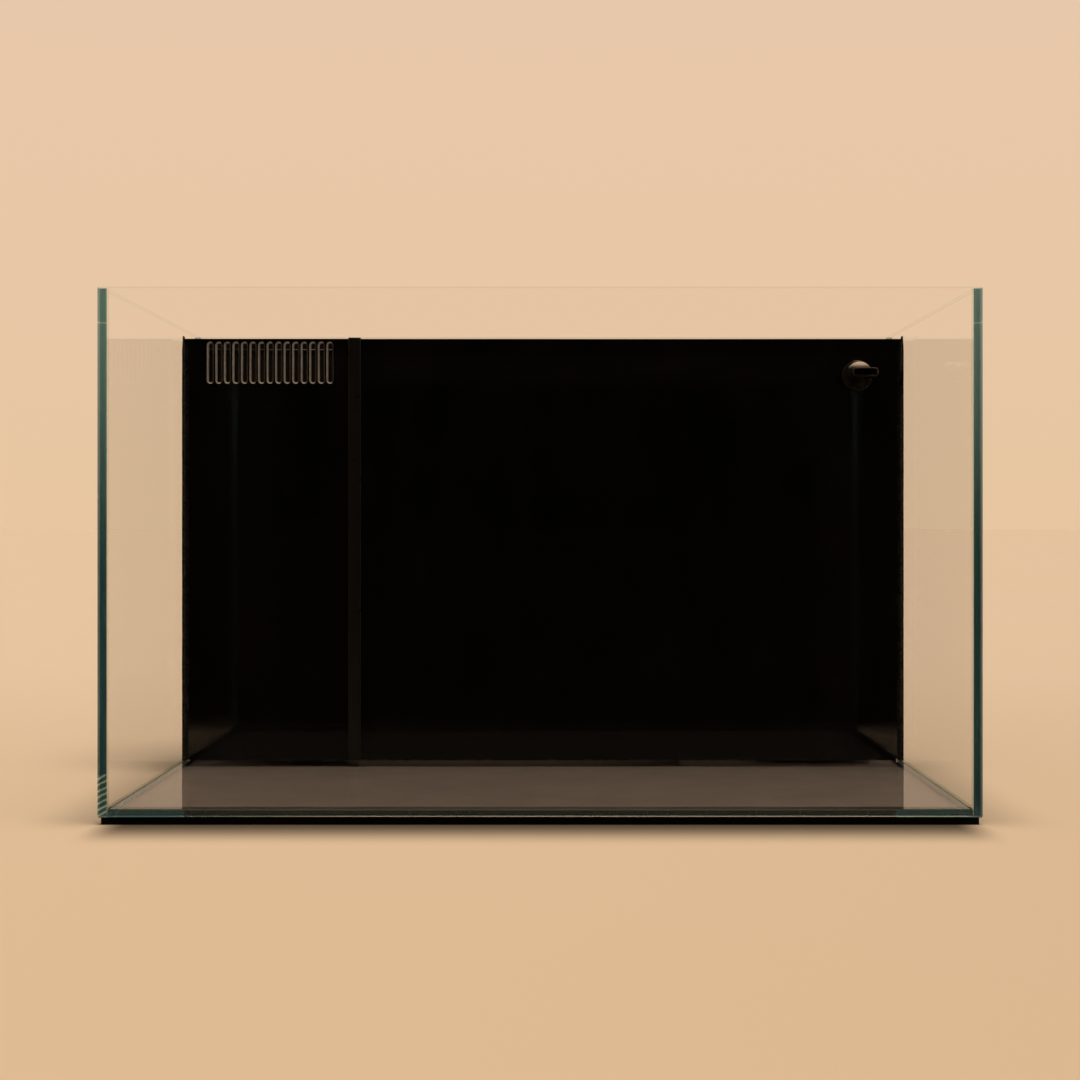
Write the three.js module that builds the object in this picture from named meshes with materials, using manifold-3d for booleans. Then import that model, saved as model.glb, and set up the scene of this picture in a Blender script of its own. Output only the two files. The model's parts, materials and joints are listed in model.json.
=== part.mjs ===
// A rimless all-in-one glass aquarium. Five glass panes bonded with clear silicone stand on a foam
// mat. A black acrylic wall with a slotted weir splits off three filter chambers along the rear pane:
// intake with a lift-out media basket, a free middle chamber, and a pump chamber whose return hose
// feeds a swivel nozzle on the front of the wall.
//
// Frame: millimetres, +Z up, +X to the viewer's right, the viewing pane on the -Y side. The origin is
// the centre of the footprint, on the surface that the tank stands on.

import * as THREE from "three";
import { mergeVertices } from "three/addons/utils/BufferGeometryUtils.js";
import Module from "manifold-3d";

const wasm = await Module();
wasm.setup();

// ---- driving dimensions ---------------------------------------------------------------------------

const TANK_WIDTH = 600;
const TANK_DEPTH = 360;
const GLASS_HEIGHT = 360;
const GLASS = 5; // pane thickness
const ARRIS = 0.6; // ground edge of a pane
const MAT_THICKNESS = 5;
const MAT_INSET = 2;
const FILM = 0.3; // black film on the back of the rear pane
const BOND = 0.4; // silicone joint between two panes
const TOUCH = 0.05; // air left between pieces that rest on or are bonded to each other
const CLEAR = 0.3; // air left round pieces that are slipped together
const RUNNING = 0.1; // air round a shaft that turns

const ACRYLIC = 5; // sheet used for the wall and baffles
const DISPLAY_DEPTH = 275; // outside of the viewing pane to the face of the acrylic wall
const WALL_DROP = 9.2; // the wall stops this far under the rim

const NOZZLE_X = 257.5;
const NOZZLE_Z = 325.3;

const PUMP_Y = 137.5;
const PUMP_Z = 40;

// ---- derived places -------------------------------------------------------------------------------

const RIM = MAT_THICKNESS + GLASS_HEIGHT;
const FLOOR = MAT_THICKNESS + GLASS; // top of the bottom pane
const SIDE = TANK_WIDTH / 2 - GLASS; // inner face of a side pane
const FRONT = -TANK_DEPTH / 2; // outer face of the viewing pane
const FRONT_INNER = FRONT + GLASS;
const REAR = TANK_DEPTH / 2 - FILM; // outer face of the rear pane
const REAR_INNER = REAR - GLASS;
const WALL_FACE = FRONT + DISPLAY_DEPTH;
const WALL_BACK = WALL_FACE + ACRYLIC;
const WALL_TOP = RIM - WALL_DROP;
const WALL_BOTTOM = FLOOR + 0.9;

const tank = new THREE.Group();

// ---- finishes -------------------------------------------------------------------------------------

function finish(color, roughness, metalness = 0, opacity = 1) {
  return new THREE.MeshStandardMaterial({
    color,
    roughness,
    metalness,
    opacity,
    transparent: opacity < 1,
  });
}

const FINISH = {
  glass: finish(0xcfe6de, 0.02, 0, 0.25),
  clearSilicone: finish(0xdfe6e2, 0.35, 0, 0.5),
  blackSilicone: finish(0x0b0b0b, 0.4),
  blackAcrylic: finish(0x060606, 0.08),
  foam: finish(0x16150f, 0.95),
  film: finish(0x0c0c0d, 0.5),
  blackPlastic: finish(0x121212, 0.45),
  pumpShell: finish(0x1b1c1e, 0.5),
  rubber: finish(0x161616, 0.75),
  vinyl: finish(0xc9d3d2, 0.2, 0, 0.6),
  nylon: finish(0xd8d4c8, 0.5),
  magnet: finish(0x3a3a3c, 0.4, 0.3),
  ceramic: finish(0xe9e4d8, 0.8),
  sponge: finish(0x2a4c8f, 1),
  floss: finish(0xf0efe9, 1),
};

// ---- modelling helpers ----------------------------------------------------------------------------

function node(name, geometry, material, parent = tank) {
  const mesh = new THREE.Mesh(geometry, material);
  mesh.name = name;
  parent.add(mesh);
  return mesh;
}

// A geometry as a solid for cutting and joining.
function solid(geometry) {
  const bare = geometry.clone();
  bare.deleteAttribute("normal");
  bare.deleteAttribute("uv");
  const merged = mergeVertices(bare, 1e-4);
  return new wasm.Manifold(
    new wasm.Mesh({
      numProp: 3,
      vertProperties: new Float32Array(merged.attributes.position.array),
      triVerts: new Uint32Array(merged.index.array),
    }),
  );
}

function geometryOf(made) {
  const mesh = made.getMesh();
  const geometry = new THREE.BufferGeometry();
  geometry.setAttribute("position", new THREE.BufferAttribute(new Float32Array(mesh.vertProperties), 3));
  geometry.setIndex(new THREE.BufferAttribute(new Uint32Array(mesh.triVerts), 1));
  geometry.computeVertexNormals();
  return geometry;
}

function join(...geometries) {
  return geometryOf(geometries.map(solid).reduce((whole, next) => whole.add(next)));
}

function cut(geometry, ...tools) {
  return geometryOf(tools.map(solid).reduce((whole, tool) => whole.subtract(tool), solid(geometry)));
}

// Turns a geometry made along Z, or lathed about Y, so that it runs along another axis. Each matrix
// only swaps the axes round, so no coordinate is rounded.
const SWAP = {
  zToX: new THREE.Matrix4().set(0, 0, 1, 0, 1, 0, 0, 0, 0, 1, 0, 0, 0, 0, 0, 1),
  zToY: new THREE.Matrix4().set(0, 1, 0, 0, 0, 0, 1, 0, 1, 0, 0, 0, 0, 0, 0, 1),
  yToX: new THREE.Matrix4().set(0, 1, 0, 0, 0, 0, 1, 0, 1, 0, 0, 0, 0, 0, 0, 1),
  yToZ: new THREE.Matrix4().set(0, 0, 1, 0, 1, 0, 0, 0, 0, 1, 0, 0, 0, 0, 0, 1),
};

// A flat outline pushed along an axis. The outline is (x, y) along Z, (y, z) along X, (x, z) along Y.
function prism(outline, axis, from, to) {
  const points = outline.map(([a, b]) => (axis === "Y" ? new THREE.Vector2(b, a) : new THREE.Vector2(a, b)));
  const geometry = new THREE.ExtrudeGeometry(new THREE.Shape(points), { depth: to - from, bevelEnabled: false });
  geometry.translate(0, 0, from);
  if (axis === "X") geometry.applyMatrix4(SWAP.zToX);
  if (axis === "Y") geometry.applyMatrix4(SWAP.zToY);
  return geometry;
}

// A box between two corners.
function block([x0, y0, z0], [x1, y1, z1]) {
  const geometry = new THREE.BoxGeometry(x1 - x0, y1 - y0, z1 - z0);
  return geometry.translate((x0 + x1) / 2, (y0 + y1) / 2, (z0 + z1) / 2);
}

// A box between two corners with a flat taken off all twelve edges.
function easedBlock([x0, y0, z0], [x1, y1, z1], ease) {
  const outline = new THREE.Shape();
  outline.moveTo(x0 + ease, y0);
  outline.lineTo(x1 - ease, y0);
  outline.lineTo(x1, y0 + ease);
  outline.lineTo(x1, y1 - ease);
  outline.lineTo(x1 - ease, y1);
  outline.lineTo(x0 + ease, y1);
  outline.lineTo(x0, y1 - ease);
  outline.lineTo(x0, y0 + ease);
  const geometry = new THREE.ExtrudeGeometry(outline, {
    depth: z1 - z0 - 2 * ease,
    bevelThickness: ease,
    bevelSize: ease,
    bevelOffset: -ease,
    bevelSegments: 1,
  });
  return geometry.translate(0, 0, z0 + ease);
}

function roundedRectangle(x0, y0, x1, y1, radius) {
  const outline = new THREE.Shape();
  outline.moveTo(x0 + radius, y0);
  outline.lineTo(x1 - radius, y0);
  outline.absarc(x1 - radius, y0 + radius, radius, -Math.PI / 2, 0);
  outline.lineTo(x1, y1 - radius);
  outline.absarc(x1 - radius, y1 - radius, radius, 0, Math.PI / 2);
  outline.lineTo(x0 + radius, y1);
  outline.absarc(x0 + radius, y1 - radius, radius, Math.PI / 2, Math.PI);
  outline.lineTo(x0, y0 + radius);
  outline.absarc(x0 + radius, y0 + radius, radius, Math.PI, 1.5 * Math.PI);
  return outline;
}

// A turned piece. The profile is [radius, height] pairs; it either starts and ends on the axis or is
// closed here into a ring. At is the origin of the heights, and the piece turns about an axis through it.
function turned(profile, axis, at, sides = 20) {
  const points = profile.map(([r, h]) => new THREE.Vector2(r, h));
  const ring = points[0].x > 0 || points[points.length - 1].x > 0;
  if (THREE.ShapeUtils.area(points) < 0) points.reverse();
  if (ring) points.push(points[0].clone());
  const geometry = new THREE.LatheGeometry(points, sides);
  if (axis === "X") geometry.applyMatrix4(SWAP.yToX);
  if (axis === "Z") geometry.applyMatrix4(SWAP.yToZ);
  return geometry.translate(...at);
}

function rod(radius, from, to, axis, at, sides = 20) {
  return turned([[0, from], [radius, from], [radius, to], [0, to]], axis, at, sides);
}

function ringProfile(inner, outer, from, to) {
  return [[inner, from], [outer, from], [outer, to], [inner, to]];
}

// Points of a circular arc, both ends included.
function arc(cx, cy, radius, start, end, steps) {
  return Array.from({ length: steps + 1 }, (_, i) => {
    const angle = start + ((end - start) * i) / steps;
    return [cx + radius * Math.cos(angle), cy + radius * Math.sin(angle)];
  });
}

// ---- glass box ------------------------------------------------------------------------------------

function glassBox() {
  const half = TANK_WIDTH / 2;
  const paneFront = FRONT_INNER + BOND;
  const paneRear = REAR_INNER - BOND;
  const pane = (name, low, high) => node(name, easedBlock(low, high, ARRIS), FINISH.glass);
  pane("front_pane", [-half, FRONT, MAT_THICKNESS], [half, FRONT_INNER, RIM]);
  pane("rear_pane", [-half, REAR_INNER, MAT_THICKNESS], [half, REAR, RIM]);
  pane("left_pane", [-half, paneFront, MAT_THICKNESS], [-SIDE, paneRear, RIM]);
  pane("right_pane", [SIDE, paneFront, MAT_THICKNESS], [half, paneRear, RIM]);
  pane("bottom_pane", [-SIDE + BOND, paneFront, MAT_THICKNESS], [SIDE - BOND, paneRear, FLOOR]);
}

// ---- silicone -------------------------------------------------------------------------------------

const SEAM_LEG = 1.8; // reach of a clear fillet along each pane
const SEAM_STEPS = 4;
const SEAM_SET_BACK = 0.3; // the joint is trimmed this far inside the outer face

// Cross-section of a pane joint: a web between the butting edge and the covering pane, and a hollow
// fillet in the corner. u runs along the covering pane away from the corner, v away from that pane.
function seamSection() {
  const reach = SEAM_LEG + TOUCH;
  return [
    [-GLASS + SEAM_SET_BACK, TOUCH],
    ...arc(reach, reach, SEAM_LEG, -Math.PI / 2, -Math.PI, SEAM_STEPS),
    [TOUCH, BOND - TOUCH],
    [-GLASS + SEAM_SET_BACK, BOND - TOUCH],
  ];
}

function clearSeams() {
  const section = seamSection();
  const above = FLOOR + SEAM_LEG + CLEAR;
  const corners = [
    ["seam_front_left", -SIDE, FRONT_INNER, 1, 1],
    ["seam_front_right", SIDE, FRONT_INNER, -1, 1],
    ["seam_rear_left", -SIDE, REAR_INNER, 1, -1],
    ["seam_rear_right", SIDE, REAR_INNER, -1, -1],
  ];
  for (const [name, x, y, toX, toY] of corners) {
    const outline = section.map(([u, v]) => [x + toX * u, y + toY * v]);
    node(name, prism(outline, "Z", above, RIM - 1), FINISH.clearSilicone);
  }
  const along = SIDE - TOUCH;
  for (const [name, y, inward] of [["seam_bottom_front", FRONT_INNER, 1], ["seam_bottom_rear", REAR_INNER, -1]]) {
    const outline = section.map(([u, v]) => [y + inward * v, FLOOR + u]);
    node(name, prism(outline, "X", -along, along), FINISH.clearSilicone);
  }
  const ends = SEAM_LEG + BOND + CLEAR;
  for (const [name, x, inward] of [["seam_bottom_left", -SIDE, 1], ["seam_bottom_right", SIDE, -1]]) {
    const outline = section.map(([u, v]) => [x + inward * v, FLOOR + u]);
    node(name, prism(outline, "Y", FRONT_INNER + ends, REAR_INNER - ends), FINISH.clearSilicone);
  }
}

// ---- mat and film ---------------------------------------------------------------------------------

function matAndFilm() {
  const x = TANK_WIDTH / 2 - MAT_INSET;
  const y = TANK_DEPTH / 2 - MAT_INSET;
  node("leveling_mat", easedBlock([-x, -y, 0], [x, y, MAT_THICKNESS - TOUCH], 0.4), FINISH.foam);

  const sideMargin = 1.5;
  const rimMargin = 3;
  const filmX = TANK_WIDTH / 2 - sideMargin;
  const sheet = roundedRectangle(-filmX, MAT_THICKNESS + sideMargin, filmX, RIM - rimMargin, 2);
  const outline = sheet.getPoints(2).map((p) => [p.x, p.y]);
  node("backing_film", prism(outline.slice(0, -1), "Y", REAR + TOUCH, REAR + FILM), FINISH.film);
}

// ---- acrylic wall ---------------------------------------------------------------------------------

const JOINER_X = -154.3;
const JOINER_WEB = 1.6;
const JOINER_FLANGE = 10;
const JOINER_THICK = 1.5;
const JOINER_TOP = WALL_TOP + 2.5;

const SLOTS = 15;
const SLOT_PITCH = 7;
const SLOT_WIDTH = 3.4;
const SLOT_FLARE = 1.2; // width of the chamfer round a slot
const FIRST_SLOT_X = -272.6;
const SLOT_TOP = WALL_TOP - 2.4; // top and bottom of the chamfered mouth
const SLOT_BOTTOM = SLOT_TOP - 34.5;
const CORNER_RELIEF = 5; // corner taken off a sheet where it would ride on a silicone fillet

// One weir slot as a cutting tool: a round-ended passage that flares at both faces of the sheet.
function slotTool(x) {
  const past = CLEAR;
  const flare = SLOT_FLARE + past;
  const half = SLOT_WIDTH / 2 + flare;
  const low = SLOT_BOTTOM - past + half;
  const high = SLOT_TOP + past - half;
  const mouth = new THREE.Shape();
  mouth.absarc(low, x, half, 0.5 * Math.PI, 1.5 * Math.PI);
  mouth.absarc(high, x, half, -0.5 * Math.PI, 0.5 * Math.PI);
  const geometry = new THREE.ExtrudeGeometry(mouth, {
    depth: ACRYLIC + 2 * past - 2 * flare,
    bevelThickness: flare,
    bevelSize: -flare,
    bevelSegments: 1,
    curveSegments: 2,
  });
  geometry.translate(0, 0, WALL_FACE - past + flare);
  return geometry.applyMatrix4(SWAP.zToY);
}

function wallPanels() {
  const edge = 0.5;
  const weirRight = JOINER_X - JOINER_WEB / 2 - CLEAR;
  const panelLeft = JOINER_X + JOINER_WEB / 2 + CLEAR;
  const sheet = (x0, x1) => easedBlock([x0, WALL_FACE, WALL_BOTTOM], [x1, WALL_BACK, WALL_TOP], edge);
  const relief = (x, inward) =>
    prism(
      [
        [x - inward, WALL_BOTTOM - 1],
        [x + inward * (CORNER_RELIEF + 1), WALL_BOTTOM - 1],
        [x - inward, WALL_BOTTOM + CORNER_RELIEF + 1],
      ],
      "Y",
      WALL_FACE - 1,
      WALL_BACK + 1,
    );

  const slots = Array.from({ length: SLOTS }, (_, i) => slotTool(FIRST_SLOT_X + i * SLOT_PITCH));
  const weirLeft = -SIDE + CLEAR;
  node("weir_panel", cut(sheet(weirLeft, weirRight), relief(weirLeft, 1), ...slots), FINISH.blackAcrylic);

  const panelRight = SIDE - CLEAR;
  const bulkheadHole = rod(BULKHEAD.hole, WALL_FACE - 1, WALL_BACK + 1, "Y", [NOZZLE_X, 0, NOZZLE_Z]);
  node(
    "return_panel",
    cut(sheet(panelLeft, panelRight), relief(panelRight, -1), bulkheadHole),
    FINISH.blackAcrylic,
  );
}

// The strip that joins the two panels: an H section whose back carries two lips for the intake baffle.
function panelJoiner() {
  const web = JOINER_WEB / 2;
  const flange = JOINER_FLANGE / 2;
  const face = WALL_FACE - CLEAR;
  const back = WALL_BACK + CLEAR;
  const lip = back + JOINER_THICK + 5;
  const slot = ACRYLIC / 2 + CLEAR;
  const half = [
    [flange, face - JOINER_THICK + 0.5],
    [flange, face],
    [web, face],
    [web, back],
    [flange, back],
    [flange, lip],
    [slot, lip],
    [slot, back + JOINER_THICK],
  ];
  const outline = [
    [flange - 0.5, face - JOINER_THICK],
    ...half,
    ...half.toReversed().map(([x, y]) => [-x, y]),
    [0.5 - flange, face - JOINER_THICK],
  ].map(([x, y]) => [JOINER_X + x, y]);
  node("panel_joiner", prism(outline, "Z", FLOOR + CLEAR, JOINER_TOP), FINISH.blackAcrylic);
}

const WALL_BEAD = 5;

function wallBeads() {
  const reach = WALL_BEAD + TOUCH;
  const fillet = [[TOUCH, TOUCH], ...arc(reach, reach, WALL_BEAD, -Math.PI / 2, -Math.PI, SEAM_STEPS)];
  for (const [name, x, inward] of [["wall_bead_left", -SIDE, 1], ["wall_bead_right", SIDE, -1]]) {
    const outline = fillet.map(([u, v]) => [x + inward * u, WALL_FACE - v]);
    node(name, prism(outline, "Z", FLOOR + SEAM_LEG + CLEAR, WALL_TOP + 2.2), FINISH.blackSilicone);
  }
  const x = SIDE - CORNER_RELIEF;
  const low = [-x, WALL_FACE + CLEAR, FLOOR + TOUCH];
  const high = [x, WALL_BACK - CLEAR, WALL_BOTTOM - TOUCH];
  node("wall_bead_bottom", cut(block(low, high), joinerFoot()), FINISH.blackSilicone);
}

// The space that the joiner takes where it stands on the floor, with clearance.
function joinerFoot() {
  const web = JOINER_WEB / 2 + CLEAR;
  const past = 1;
  return block(
    [JOINER_X - web, WALL_FACE, FLOOR + CLEAR / 2],
    [JOINER_X + web, WALL_BACK, WALL_BOTTOM + past],
  );
}

// ---- baffles and rails ----------------------------------------------------------------------------

const PUMP_BAFFLE_X = 112.4;
const PASS_HEIGHT = 40; // water passes under the intake baffle through this gap
const RAIL_TOP = 60;
const RAIL = 8;

function baffles() {
  const foot = FLOOR + 0.4;
  const rear = REAR_INNER - CLEAR;
  const intakeFront = WALL_BACK + CLEAR + JOINER_THICK + CLEAR;
  const intakeTop = 335;
  const intake = [
    [intakeFront, foot],
    [intakeFront + 12, foot],
    ...arc(intakeFront + 12 + 6, foot + PASS_HEIGHT - 6, 6, Math.PI, Math.PI / 2, 3),
    ...arc(rear - 12 - 6, foot + PASS_HEIGHT - 6, 6, Math.PI / 2, 0, 3),
    [rear - 12, foot],
    [rear - CORNER_RELIEF, foot],
    [rear, foot + CORNER_RELIEF],
    [rear, intakeTop],
    [intakeFront, intakeTop],
  ];
  const half = ACRYLIC / 2;
  node("intake_baffle", prism(intake, "X", JOINER_X - half, JOINER_X + half), FINISH.blackAcrylic);

  // The pump baffle is a low dam: water steps over it between the teeth of its top edge.
  const front = WALL_BACK + CLEAR;
  const toothTop = 300;
  const toothRoot = 262;
  const teeth = 7;
  const pitch = (rear - front) / (teeth - 0.5);
  const comb = Array.from({ length: teeth }, (_, i) => {
    const start = front + i * pitch;
    return [[start, toothRoot], [start, toothTop], [start + pitch / 2, toothTop], [start + pitch / 2, toothRoot]];
  }).flat();
  const dam = [
    ...comb.slice(1, -1),
    [rear, toothTop],
    [rear, foot + CORNER_RELIEF],
    [rear - CORNER_RELIEF, foot],
    [front, foot],
  ];
  node("pump_baffle", prism(dam, "X", PUMP_BAFFLE_X - half, PUMP_BAFFLE_X + half), FINISH.blackAcrylic);

  const railFrom = BASKET.front + 1;
  const railTo = BASKET.rear - 1;
  const rail = (name, x0, x1) =>
    node(name, easedBlock([x0, railFrom, RAIL_TOP - RAIL], [x1, railTo, RAIL_TOP], 0.5), FINISH.blackAcrylic);
  rail("basket_rail_left", -SIDE + TOUCH, -SIDE + RAIL);
  rail("basket_rail_right", JOINER_X - half - RAIL, JOINER_X - half - TOUCH);
}

// ---- media basket ---------------------------------------------------------------------------------

const BASKET = {
  left: -291,
  right: -161,
  front: 107.5,
  rear: 168.5,
  bottom: RAIL_TOP + CLEAR,
  top: 315,
  wall: 2.5,
  floor: 3,
  ledge: 2.5,
};
const TRAY_LEVELS = [152, 237]; // top of the ledges that carry the two trays
const TRAY = 3;

// A row of equal bars as cutting tools, spread evenly between two places along X.
function barRow(count, from, to, width, low, high) {
  const step = (to - from - width) / (count - 1);
  return Array.from({ length: count }, (_, i) => {
    const x = from + i * step;
    return block([x, low[0], low[1]], [x + width, high[0], high[1]]);
  });
}

function mediaBasket() {
  const { left, right, front, rear, bottom, top, wall, floor, ledge } = BASKET;
  const inLeft = left + wall;
  const inRight = right - wall;
  const inFront = front + wall;
  const inRear = rear - wall;
  const hollow = block([inLeft, inFront, bottom + floor], [inRight, inRear, top + 1]);
  const drains = barRow(9, inLeft + 7, inRight - 7, 6, [inFront + 6, bottom - 1], [inRear - 6, bottom + floor + 1]);
  const windows = barRow(9, inLeft + 7, inRight - 7, 5, [front - 1, bottom + 12], [rear + 1, bottom + 46]);
  const shell = cut(easedBlock([left, front, bottom], [right, rear, top], 0.8), hollow, ...drains, ...windows);
  const ledges = TRAY_LEVELS.flatMap((z) => [
    block([inLeft - 1, inFront - 1, z - ledge], [inLeft + ledge, inRear + 1, z]),
    block([inRight - ledge, inFront - 1, z - ledge], [inRight + 1, inRear + 1, z]),
  ]);
  node("basket_shell", join(shell, ...ledges), FINISH.blackAcrylic);

  TRAY_LEVELS.forEach((z, i) => {
    const low = [inLeft + CLEAR, inFront + CLEAR, z + CLEAR];
    const high = [inRight - CLEAR, inRear - CLEAR, z + CLEAR + TRAY];
    const holes = barRow(11, inLeft + 7, inRight - 7, 5, [inFront + 6, z - 1], [inRear - 6, z + TRAY + 2]);
    node(["tray_lower", "tray_upper"][i], cut(easedBlock(low, high, 0.4), ...holes), FINISH.blackAcrylic);
  });

  const upright = 2.5;
  const inner = [
    [inLeft + CLEAR + upright, 290],
    ...arc(inLeft + CLEAR + upright + 6, 347 - 6, 6, Math.PI, Math.PI / 2, 3),
    ...arc(inRight - CLEAR - upright - 6, 347 - 6, 6, Math.PI / 2, 0, 3),
    [inRight - CLEAR - upright, 290],
  ];
  const outer = [
    [inRight - CLEAR, 290],
    ...arc(inRight - CLEAR - 8, 350 - 8, 8, 0, Math.PI / 2, 3),
    ...arc(inLeft + CLEAR + 8, 350 - 8, 8, Math.PI / 2, Math.PI, 3),
    [inLeft + CLEAR, 290],
  ];
  const middle = (front + rear) / 2;
  node("basket_handle", prism([...inner, ...outer], "Y", middle - 10, middle + 10), FINISH.blackAcrylic);

  const fill = 1.5; // the fillings are cut a little smaller than the basket
  const filling = (name, z0, z1, material) =>
    node(name, easedBlock([inLeft + fill, inFront + fill, z0], [inRight - fill, inRear - fill, z1], 3), material);
  const onTray = CLEAR + TRAY + CLEAR;
  filling("ceramic_media", bottom + floor + CLEAR, TRAY_LEVELS[0] - ledge - 10, FINISH.ceramic);
  filling("coarse_sponge", TRAY_LEVELS[0] + onTray, TRAY_LEVELS[1] - ledge - 10, FINISH.sponge);
  filling("floss_pad", TRAY_LEVELS[1] + onTray, TRAY_LEVELS[1] + onTray + 34, FINISH.floss);
}

// ---- return line ----------------------------------------------------------------------------------

const BULKHEAD = { flange: 12.5, flangeThick: 2.5, gasket: 1.2, barrel: 9.6, hole: 10.2, reach: 23, bore: 4.6, stem: 5.3 };
const HOSE = { inner: 6.3, outer: 8.3, straight: 26 };
const ELBOW_Y = WALL_BACK + 30;
const BARB_LENGTH = 22;
const ELBOW_SHOULDER = NOZZLE_Z - 14; // the hose is pushed up to here
const OUTLET_X = 212.3;
const OUTLET_SHOULDER = PUMP_Z + 26;

const FLANGE_BACK = WALL_FACE - BULKHEAD.gasket - 2 * TOUCH;
const FLANGE_FRONT = FLANGE_BACK - BULKHEAD.flangeThick;

// Half section of a hose barb that points up: three saw teeth on a tube.
function barbProfile(bore, length) {
  const teeth = 3;
  const pitch = (length - 2) / teeth;
  const tip = HOSE.inner - CLEAR;
  const saw = Array.from({ length: teeth }, (_, i) => [[tip, 2 + i * pitch], [tip - 0.7, 2 + (i + 1) * pitch]]).flat();
  return [[bore, 0], [tip - 0.7, 0], [tip - 0.7, 2], ...saw, [bore, length]];
}

function bulkhead() {
  const at = [NOZZLE_X, 0, NOZZLE_Z];
  const stemEnd = FLANGE_FRONT + 12;
  const end = WALL_FACE + BULKHEAD.reach;
  const { flange, barrel, bore, stem } = BULKHEAD;
  const body = [
    [stem, FLANGE_FRONT],
    [flange - 0.8, FLANGE_FRONT],
    [flange, FLANGE_FRONT + 0.8],
    [flange, FLANGE_BACK],
    [barrel, FLANGE_BACK],
    [barrel, end],
    [bore, end],
    [bore, stemEnd],
    [stem, stemEnd],
  ];
  node("bulkhead_body", turned(body, "Y", at), FINISH.blackPlastic);
  const gasket = ringProfile(BULKHEAD.hole, flange, FLANGE_BACK + TOUCH, WALL_FACE - TOUCH);
  node("bulkhead_gasket", turned(gasket, "Y", at), FINISH.rubber);

  const nutRadius = 15;
  const corners = Array.from({ length: 6 }, (_, i) => {
    const angle = (i * Math.PI) / 3;
    return [NOZZLE_X + nutRadius * Math.cos(angle), NOZZLE_Z + nutRadius * Math.sin(angle)];
  });
  const hexagon = prism(corners, "Y", WALL_BACK + CLEAR, WALL_BACK + CLEAR + 6);
  const thread = rod(barrel + CLEAR, WALL_BACK, WALL_BACK + 8, "Y", at);
  node("bulkhead_nut", cut(hexagon, thread), FINISH.blackPlastic);
}

// The elbow slips over the end of the bulkhead and turns down into a hose barb.
function returnElbow() {
  const { barrel, bore } = BULKHEAD;
  const body = 9.5;
  const at = [NOZZLE_X, 0, NOZZLE_Z];
  const down = [NOZZLE_X, ELBOW_Y, 0];
  const socketFrom = WALL_BACK + 8.5;
  const socketEnd = WALL_FACE + BULKHEAD.reach + CLEAR;
  const corner = new THREE.SphereGeometry(body, 16, 10).translate(NOZZLE_X, ELBOW_Y, NOZZLE_Z);
  const barb = turned(barbProfile(bore, BARB_LENGTH), "Z", [0, 0, 0], 16);
  barb.applyMatrix4(new THREE.Matrix4().makeRotationX(Math.PI));
  barb.translate(NOZZLE_X, ELBOW_Y, ELBOW_SHOULDER);
  const outside = join(
    rod(barrel + 2.4, socketFrom, socketEnd + 2, "Y", at, 16),
    rod(body, socketEnd, ELBOW_Y, "Y", at, 16),
    corner,
    rod(body, ELBOW_SHOULDER, NOZZLE_Z, "Z", down, 16),
    barb,
  );
  const whole = cut(
    outside,
    rod(barrel + CLEAR, socketFrom - 1, socketEnd, "Y", at, 16),
    rod(bore, socketFrom, ELBOW_Y + bore / 2, "Y", at, 16),
    rod(bore, ELBOW_SHOULDER - BARB_LENGTH - 1, NOZZLE_Z, "Z", down, 16),
  );
  node("return_elbow", whole, FINISH.blackPlastic);
}

// The hose runs straight over each barb and bends between them.
function returnHose() {
  const top = new THREE.Vector3(NOZZLE_X, ELBOW_Y, ELBOW_SHOULDER - 1);
  const bottom = new THREE.Vector3(OUTLET_X, PUMP_Y, OUTLET_SHOULDER + 1);
  const down = new THREE.Vector3(0, 0, -HOSE.straight);
  const upperBend = top.clone().add(down);
  const lowerBend = bottom.clone().sub(down);
  const pull = new THREE.Vector3(0, 0, (upperBend.z - lowerBend.z) * 0.45);
  const route = new THREE.CurvePath();
  route.add(new THREE.LineCurve3(top, upperBend));
  route.add(
    new THREE.CubicBezierCurve3(upperBend, upperBend.clone().sub(pull), lowerBend.clone().add(pull), lowerBend),
  );
  route.add(new THREE.LineCurve3(lowerBend, bottom));
  const wall = new THREE.Shape().absarc(0, 0, HOSE.outer, 0, 2 * Math.PI);
  wall.holes.push(new THREE.Path().absarc(0, 0, HOSE.inner, 0, 2 * Math.PI));
  const hose = new THREE.ExtrudeGeometry(wall, { steps: 20, curveSegments: 8, extrudePath: route });
  node("return_hose", hose, FINISH.vinyl);

  const clamp = (name, x, y, z) => {
    const band = turned(ringProfile(HOSE.outer + CLEAR, HOSE.outer + 1.9, z, z + 8), "Z", [x, y, 0], 20);
    const housing = easedBlock([x - 12, y - 4.5, z], [x - HOSE.outer - 1, y + 4.5, z + 8], 0.5);
    node(name, join(band, housing), FINISH.nylon);
  };
  clamp("hose_clamp_upper", top.x, top.y, top.z - 14);
  clamp("hose_clamp_lower", bottom.x, bottom.y, bottom.z + 6);
}

// ---- nozzle ---------------------------------------------------------------------------------------

const BALL_Y = WALL_FACE - 13; // centre of the ball
const BALL = 7.8;
const SOCKET = 10.6;
const NECK = 4.6;
const MOUTH_Y = WALL_FACE - 45;
const MOUTH = { width: 20.2, height: 6.8, wall: 1.1 };

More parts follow.
